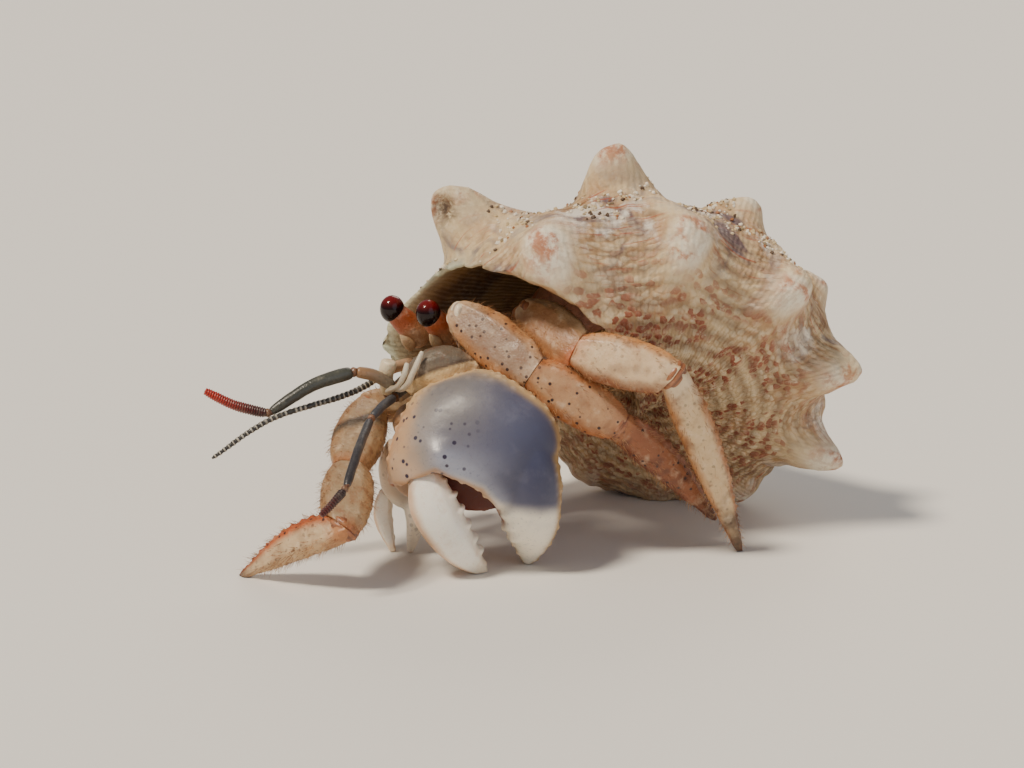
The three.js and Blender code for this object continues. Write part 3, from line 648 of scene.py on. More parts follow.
def shellFields(points, phi, place, knobMask, ribs, cord, inside):
    # how strong each finish is at each point, from 0 to 1
    outside = 1 - inside
    shoulder = smoothStep(0.2, 1.2, place) * smoothStep(3.6, 2.8, place)
    upward = smoothStep(0.35, 0.8, outwardNormals(points)[..., 2])
    noise = layeredNoise(points, 2.6, 31)
    lipBand = np.exp(np.minimum(phi, 0) / 0.045)
    hollow = brokenHollow(points)
    sand = np.clip(shoulder + 0.3 * noise, 0, 1) * upward * (1 - smoothStep(0.5, 0.9, knobMask))
    slopes = np.clip(smoothStep(6.6, 4.8, place) * (1.2 - 0.5 * ribs) - 0.9 * knobMask, 0, 1)
    # painted shade: strongest between the ribs and the cords, and none on the knobs
    grooveShading = 0.42 * (1 - ribs) * smoothStep(1.0, 3.0, place) - 0.4 * cord + 0.3 * noise - 1.2 * knobMask
    return {
        "knob": knobMask * outside,
        "crest": outside * np.clip(np.maximum(1.1 * knobMask, 0.5 * ribs) + 0.3 * noise, 0, 1),
        "worn": outside * slopes * (0.5 + 0.5 * smoothStep(2.0, 3.4, place)),
        "flecks": outside * smoothStep(4.3 + 0.35 * noise, 5.3, place) * smoothStep(9.0, 8.2, place)
                  * (1 - knobMask),
        "groove": outside * np.clip(grooveShading, 0, 1),
        "sand": outside * np.maximum(sand, 0.9 * hollow),
        "broken": outside * hollow,
        "inside": inside * (1 - lipBand),
        "rim": np.clip(lipBand * (0.9 + 0.6 * noise), 0, 1) * smoothStep(5.2, 4.0, place),
    }


def shellPiece(name, phis, inner, columns, nodes):
    # rows of phi, shrink and inside; more columns on the outer wall, places 0.2 to 9.4, than on the wall
    # that the axis hides
    place = np.interp(np.linspace(0, 1, columns, endpoint=False), [0, 0.93, 1], [0.2, 9.4, 12.2])[None, :]
    chips = 0.02 * softNoise(np.stack([place * 9, place * 0, place * 0], -1), 1.0, 3)
    rows = np.array([(phi, 0.0, 0.0) for phi in phis] + [(phi, shrink, 1.0) for phi, shrink in inner])
    phi, shrink, inside = (rows[:, k, None] + 0 * place for k in range(3))
    phi = phi + chips * np.exp(phi / 0.05)
    place = place + 0 * phi
    points, turn, knobMask, ribs = whorlSurface(phi, place, shrink)
    relief, cord = shellRelief(points, turn, place, knobMask, inside < 0.5)
    relief[[0, -1]] = 0
    points = swell(points, relief)
    fields = shellFields(points, phi, place, knobMask, ribs, cord, inside)
    ends = [np.broadcast_to(points[k].mean(axis=0), points[:1].shape) for k in (0, -1)]
    points = np.concatenate([ends[0], points, ends[1]])
    grow = lambda values: np.concatenate([values[:1], values, values[-1:]])
    fields = {key: grow(values) for key, values in fields.items()}
    grid = {"length": grow(turn / shell["knobSpacing"]), "angle": grow(place)}
    gridPiece(name, points, grid, shellFinish, "shell_lime", nodes, **fields)


def buildShell():
    bodyEnd = -turnRound * shell["bodyTurns"]
    innerPhis = -turnRound * shell["hollowTurns"] * np.linspace(0, 1, 76)[1:] ** 1.4
    walls = shell["wall"] - (shell["wall"] - shell["lipWall"]) * np.exp(innerPhis / 0.22)
    inner = [(-0.004, shell["lipWall"]), *zip(innerPhis, walls)]
    shellPiece("shell_body_whorl", np.linspace(bodyEnd, 0, 430), inner, 172, ["shell"])
    spirePhis = np.linspace(-turnRound * shell["spireTurns"], bodyEnd + 0.02, 320)
    shellPiece("shell_spire", spirePhis, [], 110, [])


buildShell()
print("shell made")


faceWay = (0.56, -0.80, 0.20)
walkingPieces = [
    {"name": "merus", "widths": [1.6, 2.2, 2.0], "depths": [1.0, 1.25, 1.2], "reach": 1.0},
    {"name": "carpus", "widths": [1.7, 2.7, 3.05, 2.8, 1.95], "depths": [1.2, 1.45, 1.35], "reach": 1.4},
    {"name": "propodus", "widths": [1.9, 2.75, 2.95, 2.65, 1.8], "depths": [1.3, 1.5, 1.3], "reach": 1.4},
    {"name": "dactyl", "widths": [2.1, 2.0, 0.45], "depths": [1.4, 1.3, 0.4], "reach": 1.2, "bow": 0.9},
]


usualLook = {
    "upperFrom": 0.4, "lowerFrom": 0.35, "tipFrom": 0.78,      # where the colours of edges and tip start
    "blotch": 0.2, "lowSpots": 0, "relief": 1.0,
    "denticles": 0.06, "toothSpacing": 1.3, "toothSide": 1,    # height, millimetres apart, edge
}
crust = {
    "lump": 0.10, "lumpSize": 2.0, "grain": 0.04, "grainSize": 0.7,
    "rims": [(0.94, 0.10), (0.07, 0.08)], "rimHalf": 0.03,          # place along the piece and height
    "ridges": [(0.55, 0.14, 0.10), (-0.5, 0.16, 0.07)],             # place across, half width and height
    "toothHalf": 0.12,
}


def look(colours, spots, edgeSpots, **rest):
    # colours of the face, the upper and lower edges, the root and the tip, and how strong the dark spots
    # are on the face and at the edges
    names = ("face", "upper", "lower", "root", "tip")
    return {**usualLook, **dict(zip(names, colours.split())), "spots": spots, "edgeSpots": edgeSpots, **rest}


# each leg: the way it faces, its joints, and the looks of its pieces from merus to dactyl
legs = {
    "left_front_leg": (
        faceWay,
        [(7.2, 3.2, 18.4), (6.5, -5.4, 28.2), (16.5, -5.0, 22.5), (23.7, 1.5, 16.1), (29.9, 13.6, 3.2)],
        look("#b08a66 #cda780 #c08a5c #a66b43 #ecdcc6", 0.3, 0.5),
        look("#9d826c #bd8c60 #c28c5c #d6b690 #c9b096", 0.8, 0.9, lowSpots=1.0),
        look("#c49a72 #c08253 #bd7a48 #c98652 #ae7650", 1.0, 0.9, lowSpots=1.0),
        look("#9c6038 #b67c62 #7c4424 #b57c4e #4a2416", 1.0, 1.0, denticles=0.34, blotch=0.8),
    ),
    "left_back_leg": (
        faceWay,
        [(8.6, 6.8, 19.0), (12.4, -0.3, 28.3), (20.2, -1.7, 24.8), (30.5, 1.9, 22.7), (33.2, 14.0, -0.7)],
        look("#a67c58 #cda780 #a56f46 #8f5a3a #c4814e", 0.2, 0.3),
        # painted shade: the carpus face is a darker tan, as in shade, between light edges
        look("#aa7e56 #d9b88f #c58d5e #dcbf9b #c2632f", 0.0, 0.1),
        look("#dcc09c #c9935f #99603a #c2713a #e2c8a4", 0.3, 0.3, blotch=0.3),
        look("#dcc098 #bf8350 #c48c58 #ead6b6 #3c2012", 0.35, 0.3, denticles=0.2, blotch=0.4, tipFrom=0.72),
    ),
    "right_front_leg": (
        (0.5, -0.6, 0.6),
        [(-2.9, 1.6, 15.0), (-5.4, -7.4, 16.4), (0.1, -17.7, 11.7), (5.3, -25.0, 7.3), (-8.6, -26.9, -0.35)],
        # painted shade: merus, carpus and propodus in greyer, duller tans, the leg's colour as it looks in
        # shade
        look("#b8a184 #caa87f #b48f68 #a66b43 #caa884", 0.2, 0.3),
        look("#ab9274 #bb9870 #a5825c #b8906a #ad7346", 0.2, 0.3),
        look("#a99071 #b8946c #9f7b56 #a97a50 #a86636", 0.1, 0.3),
        look("#cfb592 #cbaa80 #b95e28 #b97a48 #4a2416", 0.3, 0.6, lowSpots=1.0, denticles=0.25, toothSide=-1,
             lowerFrom=0.0),
    ),
    "right_back_leg": (
        (-0.8, 0.0, 0.6),
        [(-2.9, 6.4, 14.2), (-10.5, 6.0, 15.2), (-12.8, 12.6, 14.8), (-13.8, 21.4, 9.6),
         (-15.6, 36.0, -0.35)],
        look("#c9a888 #d8b695 #b98a60 #a66b43 #d8b695", 0.3, 0.4),
        look("#9d826c #bd8c60 #c28c5c #d6b690 #b8764a", 0.5, 0.8),
        look("#c49a72 #c08253 #bd7a48 #c98652 #ae7650", 0.8, 0.8),
        look("#925834 #b47a64 #7c4424 #ad744a #4a2416", 0.9, 0.9, denticles=0.3),
    ),
}

jointGap = 0.1               # between the flat ends of two neighbours
bristleGrounds = []          # the leg pieces that carry bristles, and their kinds


def pressedFlat(points, place, way, gap):
    # what lies past the plane is pressed against it: distance d becomes 0.1 d
    d = (points - np.array(place)) @ way - gap
    return points - (np.minimum(d, 0) * 0.9)[..., None] * way


def limbPaint(grid, finish):
    # face colour, blended to the edge colours by cos angle and to root and tip colours by t
    points = grid["points"]
    wander = 0.20 * layeredNoise(points, 2.2, 11, 4)
    across, t = grid["across"] + wander, grid["t"] + 0.6 * wander
    upperFrom, lowerFrom, tipFrom = (finish[key] for key in ("upperFrom", "lowerFrom", "tipFrom"))
    blotches = smoothStep(0.05, 0.5, layeredNoise(points, 1.3, 17))
    layers = [
        (smoothStep(upperFrom, upperFrom + 0.5, across), finish["upper"]),
        (smoothStep(lowerFrom, lowerFrom + 0.6, -across), finish["lower"]),
        (smoothStep(0.2, 0.02, t) * 0.85, finish["root"]),
        (smoothStep(tipFrom, tipFrom + 0.19, t) * 0.85, finish["tip"]),
        (blotches * finish["blotch"], "#6b3a20"),
    ]
    if "band" in finish:
        # a pale rim along the plane at the joint, and a thin dark line behind it
        place, way, width, rim, line = finish["band"]
        away = (points - np.array(place)) @ unit(way) + 0.3 * wander
        layers.append((smoothStep(width + 0.25, width, away), rim))
        layers.append((np.exp(-((away - width - 0.3) / 0.18) ** 2) * 0.8, line))
    return painted(points, finish["face"], *layers)


def limbSpots(grid, finish):
    t, across = grid["t"], grid["across"]
    middle = smoothStep(0.04, 0.14, t) * smoothStep(0.98, 0.9, t)
    edge = smoothStep(0.3, 0.7, np.abs(across))
    low = smoothStep(0.0, -0.5, across) * finish["lowSpots"]
    spots = finish["spots"] * (1 - edge) + finish["edgeSpots"] * edge
    return np.clip(np.maximum(spots, low), 0, 1) * middle


def limbRelief(grid, finish):
    # soft lumps and grains, rims and ridges as e^-(r^2) with r the distance in half widths, and a row of
    # pointed denticles along one edge
    points, t, across = grid["points"], grid["t"], grid["across"]
    lumps = crust["lump"] * layeredNoise(points, crust["lumpSize"], 41)
    lumps = lumps + crust["grain"] * softNoise(points, crust["grainSize"], 45)
    rim = sum(high * np.exp(-((t - place) / crust["rimHalf"]) ** 2) for place, high in crust["rims"])
    wave = np.cos(turnRound * grid["length"] / finish["toothSpacing"])
    aside = (across * finish["toothSide"] - 1) / crust["toothHalf"]
    teeth = np.maximum(wave, 0) ** 2 * np.exp(-aside ** 2)
    teeth = teeth * finish["denticles"] * smoothStep(0.05, 0.2, t) * smoothStep(0.97, 0.85, t)
    ridge = sum(high * np.exp(-((across - place) / half) ** 2) for place, half, high in crust["ridges"])
    onFace = smoothStep(0.0, 0.4, grid["up"])
    ends = smoothStep(0.0, 0.02, t) * smoothStep(1.0, 0.985, t)
    return (lumps + rim + ridge * onFace) * finish["relief"] * ends + teeth


def limbPiece(name, spec, finish, material, slot, planes=(), rows=120, around=88):
    grid = limbGrid(spec, rows, around)
    spots, paint = limbSpots(grid, finish), limbPaint(grid, finish)
    points = swell(grid["points"], limbRelief(grid, finish))
    for place, way, gap in planes:
        points = pressedFlat(points, place, way, gap)
    gridPiece(f"{name}_plate", points, grid, material, slot, [name], paint, spots=spots)
    return {**grid, "points": points}


membrane = {"reach": 1.3, "share": 0.86, "wrinkle": 0.05}


def jointMembrane(name, centre, ahead, facing, wide, deep, colour):
    # an ellipsoid about the joint, wrinkled by short waves along it, with painted shade in the troughs
    spec = limb([centre - ahead, centre, centre + ahead], [wide] * 3, [deep] * 3, facing, blunt=2.0,
                square=2.0)
    grid = limbGrid(spec, 36, 48)
    wave = np.sin(grid["length"] * 9)
    points = swell(grid["points"], membrane["wrinkle"] * wave * grid["closing"])
    # painted shade: dark brown in the troughs of the wrinkles
    paint = painted(points, colour, (0.5 * smoothStep(0.2, -0.6, wave), "#5d2f1d"))
    gridPiece(name, points, grid, softSkin, "soft_skin", (), paint)


def halfWays(joints):
    ways = unit(np.diff(np.array(joints, float), axis=0))
    return ways, unit(ways[1:] + ways[:-1])


def bendPlanes(joints, halves, i):
    # the planes at the two ends of piece i, halfway through each bend
    planes = []
    if i > 0:
        planes.append((joints[i], halves[i - 1], jointGap))
    if i < len(joints) - 2:
        planes.append((joints[i + 1], -halves[i], jointGap))
    return planes


def limbSpec(piece, joints, ways, facing, i):
    last = len(joints) - 2
    start = np.array(joints[i]) - ways[i] * (0 if i == 0 else piece["reach"])
    end = np.array(joints[i + 1]) + ways[i] * (0 if i == last else piece["reach"])
    middle = (start + end) / 2 + np.array([0, 0, piece.get("bow", 0.0)])
    return limb([start, middle, end], piece["widths"], piece["depths"], facing)


for legName, (facing, joints, *looks) in legs.items():
    ways, halves = halfWays(joints)
    for i, piece in enumerate(walkingPieces):
        spec = limbSpec(piece, joints, ways, facing, i)
        grid = limbPiece(f"{legName}_{piece['name']}", spec, looks[i], legCuticle, "leg_plate",
                         bendPlanes(joints, halves, i))
        bristleGrounds.append((grid, piece["name"]))
        if i > 0:
            shade = "#eedfc8" if legName == "left_front_leg" and i == 1 else "#b07a54"
            wide, deep = (piece[key][0] * membrane["share"] for key in ("widths", "depths"))
            ahead = halves[i - 1] * membrane["reach"]
            jointMembrane(f"{legName}_joint_{i}", np.array(joints[i]), ahead, facing, wide, deep, shade)

smallLegs = {
    "left_fourth_leg": [(6.2, 9.0, 18.6), (9.4, 9.4, 18.2), (11.6, 6.6, 16.6)],
    "right_fourth_leg": [(-1.6, 9.6, 16.2), (-3.4, 11.4, 14.2), (-3.4, 9.4, 11.8)],
    "left_fifth_leg": [(5.6, 12.2, 19.6), (8.6, 14.0, 19.6), (11.0, 13.0, 18.4)],
    "right_fifth_leg": [(0.6, 12.0, 18.0), (1.4, 14.4, 16.6), (3.4, 14.8, 15.4)],
}
plainTan = look("#cfa27e #d8b08c #c08a62 #c08a62 #a86a45", 0.2, 0.2, relief=0.4)
for legName, through in smallLegs.items():
    spec = limb(through, [0.9, 1.0, 0.9], [0.6, 0.7, 0.6])
    limbPiece(legName, spec, plainTan, legCuticle, "leg_plate", (), 60, 40)
print("legs made")


# Each claw has limbs for its palm, the fixed finger grown on it and the finger that moves, and its top is
# cut off by a plane. The gape between the fingers is a notch, right and up from the middle of the palm's
# face, or another limb. The gap goes round the root of the finger that moves, and the rounds are of
# smoothing where palm and finger run together.
bigFacing = (0.56, -0.82, 0.10)
bigClaw = {
    "middle": (12.0, -10.7, 13.6),
    "top": ((8.0, -9.4, 21.2), (0.47, -0.12, -0.87)),
    "palm": limb([(7.5, -9.7, 22.4), (10.0, -10.4, 18.4), (12.0, -10.7, 14.3), (13.2, -10.3, 10.3),
                  (13.6, -9.6, 7.0)],
                 [6.0, 8.2, 9.9, 9.0, 5.0], [3.2, 5.2, 5.7, 5.0, 3.0], bigFacing, blunt=2.4),
    "fixed": limb([(16.4, -8.1, 19.4), (17.7, -7.8, 12.4), (17.5, -6.8, 7.0), (16.5, -5.4, 3.2),
                   (15.2, -4.4, -0.35)],
                  [3.0, 3.6, 3.3, 2.4, 0.9], [3.6, 4.0, 3.3, 2.2, 0.9], bigFacing, blunt=3.0),
    "notch": [(-13.0, -3.6), (-9.0, -3.3), (-6.9, -2.9), (-3.7, -1.1), (-2.5, -1.8), (-0.6, -2.5),
              (1.1, -3.5), (2.5, -5.2), (3.2, -7.0), (3.6, -16.0), (-13.0, -16.0)],
    "notchDepth": (-0.6, 12.0),  # behind and in front of the middle of the palm
    "finger": limb([(9.0, -15.9, 12.9), (10.4, -15.9, 8.9), (11.5, -14.6, 5.5), (12.3, -12.5, 2.5),
                    (13.1, -9.7, -0.35)],
                   [2.1, 2.7, 2.5, 1.9, 0.8], [2.1, 2.4, 2.2, 1.7, 0.8], bigFacing, blunt=3.4),
    "gap": 0.16, "voxel": 0.20, "rounds": 10,
}
smallClaw = {
    "middle": (1.2, -9.5, 8.6),
    "top": ((0.9, -9.3, 13.6), (0.1, -0.2, -0.975)),
    "palm": limb([(0.8, -9.2, 14.4), (1.0, -9.6, 11.0), (1.4, -9.5, 7.6), (1.7, -9.3, 5.2)],
                 [1.8, 2.6, 2.5, 1.4], [1.4, 2.1, 2.0, 1.2], bigFacing, blunt=2.4),
    "fixed": limb([(2.1, -9.3, 7.6), (2.7, -9.1, 4.0), (1.7, -9.0, -0.35)],
                  [1.2, 1.1, 0.5], [1.4, 1.2, 0.5], bigFacing, blunt=3.0),
    "gape": limb([(0.8, -9.6, 5.6), (1.0, -9.4, 3.2), (1.0, -9.2, 1.2)],
                 [0.5, 0.7, 0.3], [2.4, 2.4, 1.4], bigFacing, blunt=3.0),
    "finger": limb([(-0.7, -10.3, 7.6), (-1.2, -10.2, 4.0), (0.0, -9.8, -0.35)],
                   [0.9, 1.1, 0.4], [1.1, 1.1, 0.4], bigFacing, blunt=3.0),
    "gap": 0.12, "voxel": 0.12, "rounds": 5,
}

# right and up as seen by someone who looks straight at the outer face of the claws
clawFace = unit(bigFacing)
clawRight = unit(np.cross([0, 0, 1], clawFace))
clawUp = np.cross(clawFace, clawRight)


def looseLimb(name, spec, wider=0.0, planes=()):
    # a limb for the booleans, still in millimetres
    spec = {**spec, **{key: [w + wider for w in spec[key]] for key in ("widths", "depths")}}
    grid = limbGrid(spec, 72, 72)
    points = grid["points"]
    for place, way, gap in planes:
        points = pressedFlat(points, place, way, gap)
    vertices, faces = closedGrid(points, grid["length"], grid["angle"])[:2]
    return placeObject(name, meshFromArrays(name, vertices, faces, place=np.array))


def prism(name, corners, middle, back, front):
    # the corners lie in the plane of the claw's face, and the sides run through it
    corners = np.array(corners)[::-1]
    flat = middle + corners[:, :1] * clawRight + corners[:, 1:] * clawUp
    count = len(corners)
    sides = [(i, (i + 1) % count, (i + 1) % count + count, i + count) for i in range(count)]
    mesh = bpy.data.meshes.new(name)
    mesh.from_pydata(np.concatenate([flat + clawFace * back, flat + clawFace * front]).tolist(), [],
                     sides + [tuple(range(count))[::-1], tuple(range(count, 2 * count))])
    return placeObject(name, mesh)


def grownTogether(name, palm, gape, fixed, socket, claw):
    # the gape is cut from the palm, the fixed finger joined to it, both run together and smoothed
    steps = [
        ("BOOLEAN", {"operation": "DIFFERENCE", "object": gape}),
        ("BOOLEAN", {"operation": "UNION", "object": fixed}),
        ("REMESH", {"mode": "VOXEL", "voxel_size": claw["voxel"]}),
        ("SMOOTH", {"factor": 0.5, "iterations": claw["rounds"]}),
        ("BOOLEAN", {"operation": "DIFFERENCE", "object": socket}),
        ("REMESH", {"mode": "VOXEL", "voxel_size": claw["voxel"]}),
        ("SMOOTH", {"factor": 0.5, "iterations": 3}),
    ]
    for kind, settings in steps:
        modifier = palm.modifiers.new(kind.lower(), kind)
        for key, value in settings.items():
            setattr(modifier, key, value)
    graph = bpy.context.evaluated_depsgraph_get()
    graph.update()
    mesh = bpy.data.meshes.new_from_object(palm.evaluated_get(graph))
    for used in (palm, gape, fixed, socket):
        usedMesh = used.data
        bpy.data.objects.remove(used)
        bpy.data.meshes.remove(usedMesh)
    mesh.name = name
    return mesh


def vertexValues(mesh, key):
    flat = np.empty(len(mesh.vertices) * 3, np.float32)
    mesh.vertices.foreach_get(key, flat)
    return flat.reshape(-1, 3).astype(float)


def facePlaces(points, claw):
    # right, up and forward of the middle of the palm
    aside = points - np.array(claw["middle"])
    return aside @ clawRight, aside @ clawUp, aside @ clawFace


def near(x, y, middleX, middleY, halfX, halfY):
    # e^-(r^2), r the distance in half widths
    return np.exp(-((x - middleX) / halfX) ** 2 - ((y - middleY) / halfY) ** 2)


def lineDistance(x, y, corners):
    # the distance to a line with corners, in the plane of the claw's face
    nearest = np.full(x.shape, 99.0)
    for (ax, ay), (bx, by) in zip(corners, corners[1:]):
        alongX, alongY = bx - ax, by - ay
        s = np.clip(((x - ax) * alongX + (y - ay) * alongY) / (alongX ** 2 + alongY ** 2), 0, 1)
        nearest = np.minimum(nearest, np.hypot(x - ax - s * alongX, y - ay - s * alongY))
    return nearest


gapeEdge = [(-9.0, -3.3), (-6.9, -2.9), (-3.7, -1.1), (-2.5, -1.8), (1.1, -3.5), (2.8, -5.7)]
condyle = (-3.3, 0.5)        # the knuckle of the finger that moves


def bigPalmPaint(points, side, x, y, z):
    # slate in the middle, indigo towards the outer side, cream fingers and a tan border
    wander, fine = layeredNoise(points, 3.6, 61), layeredNoise(points, 1.1, 66)
    edge = lineDistance(x, y, gapeEdge)
    finger = smoothStep(-4.4, -6.4, y + 0.16 * (x - 5) + 0.6 * wander) * smoothStep(0.0, 2.0, x)
    rim = smoothStep(0.58, 0.2, side + 0.08 * wander)
    lip = smoothStep(0.75, 0.25, edge + 0.1 * fine) * smoothStep(3.4, 2.0, x)
    deep = smoothStep(3.6, 1.6, z) * smoothStep(-7.0, -6.0, x) * smoothStep(5.0, 4.0, x)
    deep = deep * smoothStep(0.0, -1.4, y) * smoothStep(-8.5, -7.0, y)
    paint = painted(
        points, "#7d7b84",
        (smoothStep(2.5, 6.5, y + wander) * smoothStep(4, -2, x) * 0.7, "#8b8580"),
        (smoothStep(-2.5, 5.0, x - 0.15 * y + wander) * 0.85, "#65677f"),                      # violet
        (near(x, y, 7.2 + 0.5 * wander, -1.0, 3.0, 4.6) * 0.95, "#474a69"),                    # indigo
        # painted sheen: a pale grey-lilac glow round the knuckle, where the highlight falls
        (near(x + wander, y, -2.5, -0.6, 4.6, 2.0) * 0.75, "#b4b7c4"),                         # mist
        (smoothStep(3.2, 0.6, edge + 0.4 * wander) * smoothStep(-6, -2, x) * 0.7, "#b4b7c4"),
        (smoothStep(1.3, 0.3, edge + 0.2 * wander) * smoothStep(-3, 0, x) * 0.7, "#e3d6c4"),
        (smoothStep(-2.8, -6.0, x + 0.7 * wander) * 0.8, "#a79c92"),
        (smoothStep(-5.2, -7.6, x + 0.4 * y * (y < 0) + 0.8 * wander) * 0.9, "#cfae8c"),
        (near(x, y, -6.6, -2.2, 2.4, 1.8) * 0.8, "#cdb6a2"),
        (finger, "#f6efe0"),
        (rim * smoothStep(2.0, -4.0, x) * 0.8, "#d0a57c"),
        (rim * smoothStep(3.0, 6.0, x) * 0.85, "#c9a873"),
        (rim * smoothStep(4.0, 6.5, y) * 0.9, "#d9bd92"),
        (lip * 0.75, "#c39a72"),
        (deep * smoothStep(0.5, 0.1, side) * 0.8, "#b9a0a0"),
        (deep * smoothStep(1.6, 0.4, z + 0.5 * wander), "#7d3d24"),                            # gape
        (smoothStep(-0.1, -0.5, side) * 0.85, "#b48a66"),
    )
    spots = smoothStep(2.5, -2.0, x) * smoothStep(-4.0, -2.0, y) * smoothStep(8.0, 5.0, y)
    return paint, spots * smoothStep(0.2, 0.5, side)


tubercle = {"spacing": 1.15, "radius": 0.42, "jitter": 0.3, "seed": 5}


def tubercles(points):
    # rounded grains: 1 - d / radius, d the distance from the nearest middle of a jittered cell, in spacings
    cells = points / tubercle["spacing"]
    base = np.floor(cells)
    nearest = np.full(len(points), 9.0)
    for corner in range(27):
        cell = base + np.array([corner % 3 - 1, corner // 3 % 3 - 1, corner // 9 - 1])
        jitter = [softNoise(cell * 1.37 + k * 7.7, 1.0, tubercle["seed"] + k) for k in range(3)]
        jitter = np.stack(jitter, -1) * tubercle["jitter"]
        nearest = np.minimum(nearest, np.linalg.norm(cells - cell - 0.5 - jitter, axis=1))
    return np.clip(1 - nearest / tubercle["radius"], 0, 1)


def buildClaw(prefix, claw, painter):
    place, way = claw["top"]
    palm = looseLimb("palm", claw["palm"], planes=[(place, unit(way), jointGap)])
    fixed = looseLimb("fixed", claw["fixed"])
    # the socket is the finger with its root moved back, wider by the gap
    root, beyond, *others = (np.array(p) for p in claw["finger"]["through"])
    deeper = {**claw["finger"], "through": [root + unit(root - beyond) * 0.6, beyond, *others]}
    socket = looseLimb("socket", deeper, claw["gap"])
    if "notch" in claw:
        gape = prism("gape", claw["notch"], np.array(claw["middle"]), *claw["notchDepth"])
    else:
        gape = looseLimb("gape", claw["gape"])
    mesh = grownTogether(f"{prefix}_palm", palm, gape, fixed, socket, claw)
    points, normals = vertexValues(mesh, "co"), vertexValues(mesh, "normal")
    paint, spots, relief, matt = painter(points, normals, *facePlaces(points, claw))
    points = points + normals * relief[:, None]
    points[:, 2] = np.maximum(points[:, 2], 0)
    mesh.vertices.foreach_set("co", toPlace(points).ravel())
    mesh.polygons.foreach_set("use_smooth", np.ones(len(mesh.polygons), bool))
    storeFields(mesh, {"spots": spots, "matt": matt}, paint)
    mesh.update()
    addPiece(f"{prefix}_palm_plate", mesh, clawCuticle, [f"{prefix}_palm"])


def bigPalmFinish(points, normals, x, y, z):
    side = normals @ clawFace
    paint, spots = bigPalmPaint(points, side, x, y, z)
    edge = smoothStep(0.65, 0.2, side) * smoothStep(-0.6, -0.1, side)
    onFace = smoothStep(0.2, 0.6, side)
    grains = tubercles(points)
    relief = 0.05 * layeredNoise(points, 1.6, 71) + grains * edge * 0.28
    relief = relief + grains * smoothStep(0.0, -0.4, side) * 0.15
    relief = relief + 0.75 * near(x, y, *condyle, 2.0, 1.5) * onFace
    relief = relief - 0.35 * near(x, y, 0.0, 3.4, 4.0, 2.6) * onFace
    # blunt teeth on the inner side of the fixed finger
    inwards = smoothStep(0.0, 0.5, -normals @ clawRight)
    for toothX, toothY, size in ((3.9, -6.6, 0.65), (4.2, -8.1, 0.6), (4.8, -9.6, 0.5)):
        relief = relief + 0.8 * size * near(x, y, toothX, toothY, 1.0, size) * inwards
    paint = painted(points, paint, (grains * edge * 0.5, "#f0dcc2"))
    return paint, spots, relief, 1 - near(x, y, *condyle, 3.2, 2.4)


def smallPalmFinish(points, normals, x, y, z):
    wander = 0.4 * layeredNoise(points, 1.5, 77)
    paint = painted(points, "#b9aca0", (smoothStep(0.5, -1.8, x + wander), "#d9c4ab"),
                    (smoothStep(-1.0, -3.5, y + wander), "#ece3d3"),
                    (smoothStep(0.7, 0.25, np.hypot(x + 0.9, y - 0.2)) * 0.8, "#c96a3a"))
    return paint, 0.3 + 0 * x, 0.04 * layeredNoise(points, 1.0, 78), 0.5 + 0 * x


buildClaw("left_claw", bigClaw, bigPalmFinish)
buildClaw("right_claw", smallClaw, smallPalmFinish)

whiteFinger = look("#f7f2e6 #f3e8d8 #dcb288 #dccabb #ead3b2", 0.0, 0.0, denticles=0.45, toothSpacing=2.1,
                   relief=0.6, blotch=0.0)
limbPiece("left_claw_finger", bigClaw["finger"], whiteFinger, fingerLime, "claw_plate", (), 130, 110)
limbPiece("right_claw_finger", smallClaw["finger"], {**whiteFinger, "denticles": 0.1}, fingerLime,
          "claw_plate", (), 70, 60)

wristPlane = ((8.0, -9.4, 21.2), (-0.47, 0.12, 0.87))
armFinish = look("#b3a090 #a39588 #c39a74 #a66b43 #c9a888", 0.4, 0.3)
wristFinish = look("#93846f #7f7466 #c9ad84 #b58a66 #b8946e", 0.4, 0.3, relief=2.2, upperFrom=-0.05,
                   band=(*wristPlane, 1.25, "#dcc398", "#5f4a36"))
limbPiece("left_claw_arm", limb([(5.7, 1.2, 15.4), (6.4, -1.6, 17.6), (7.0, -4.2, 19.6)],
                                [1.6, 2.1, 2.1], [1.6, 2.0, 2.0], bigFacing),
          armFinish, bodyCuticle, "claw_plate", (), 90, 80)
limbPiece("left_claw_wrist", limb([(3.0, -11.2, 20.2), (6.4, -8.7, 22.3), (9.7, -6.2, 22.0)],
                                  [2.2, 2.7, 2.0], [2.0, 2.5, 1.7], bigFacing, blunt=2.6),
          wristFinish, bodyCuticle, "claw_plate", [(wristPlane[0], unit(wristPlane[1]), jointGap)], 90, 80)

smallArm = {
    "joints": [(0.2, -1.6, 14.7), (0.0, -5.6, 15.8), (0.8, -8.4, 14.2)],
    "pieces": [
        {"name": "arm", "widths": [1.1, 1.5, 1.6], "depths": [1.1, 1.4, 1.5], "reach": 0.6},
        {"name": "wrist", "widths": [1.6, 2.0, 1.9], "depths": [1.4, 1.8, 1.8], "reach": 0.7},
    ],
}
smallWays, smallHalves = halfWays(smallArm["joints"])
for i, piece in enumerate(smallArm["pieces"]):
    spec = limbSpec(piece, smallArm["joints"], smallWays, bigFacing, i)
    limbPiece(f"right_claw_{piece['name']}", spec, armFinish, bodyCuticle, "claw_plate",
              bendPlanes(smallArm["joints"], smallHalves, i), 60, 56)
print("claws made")


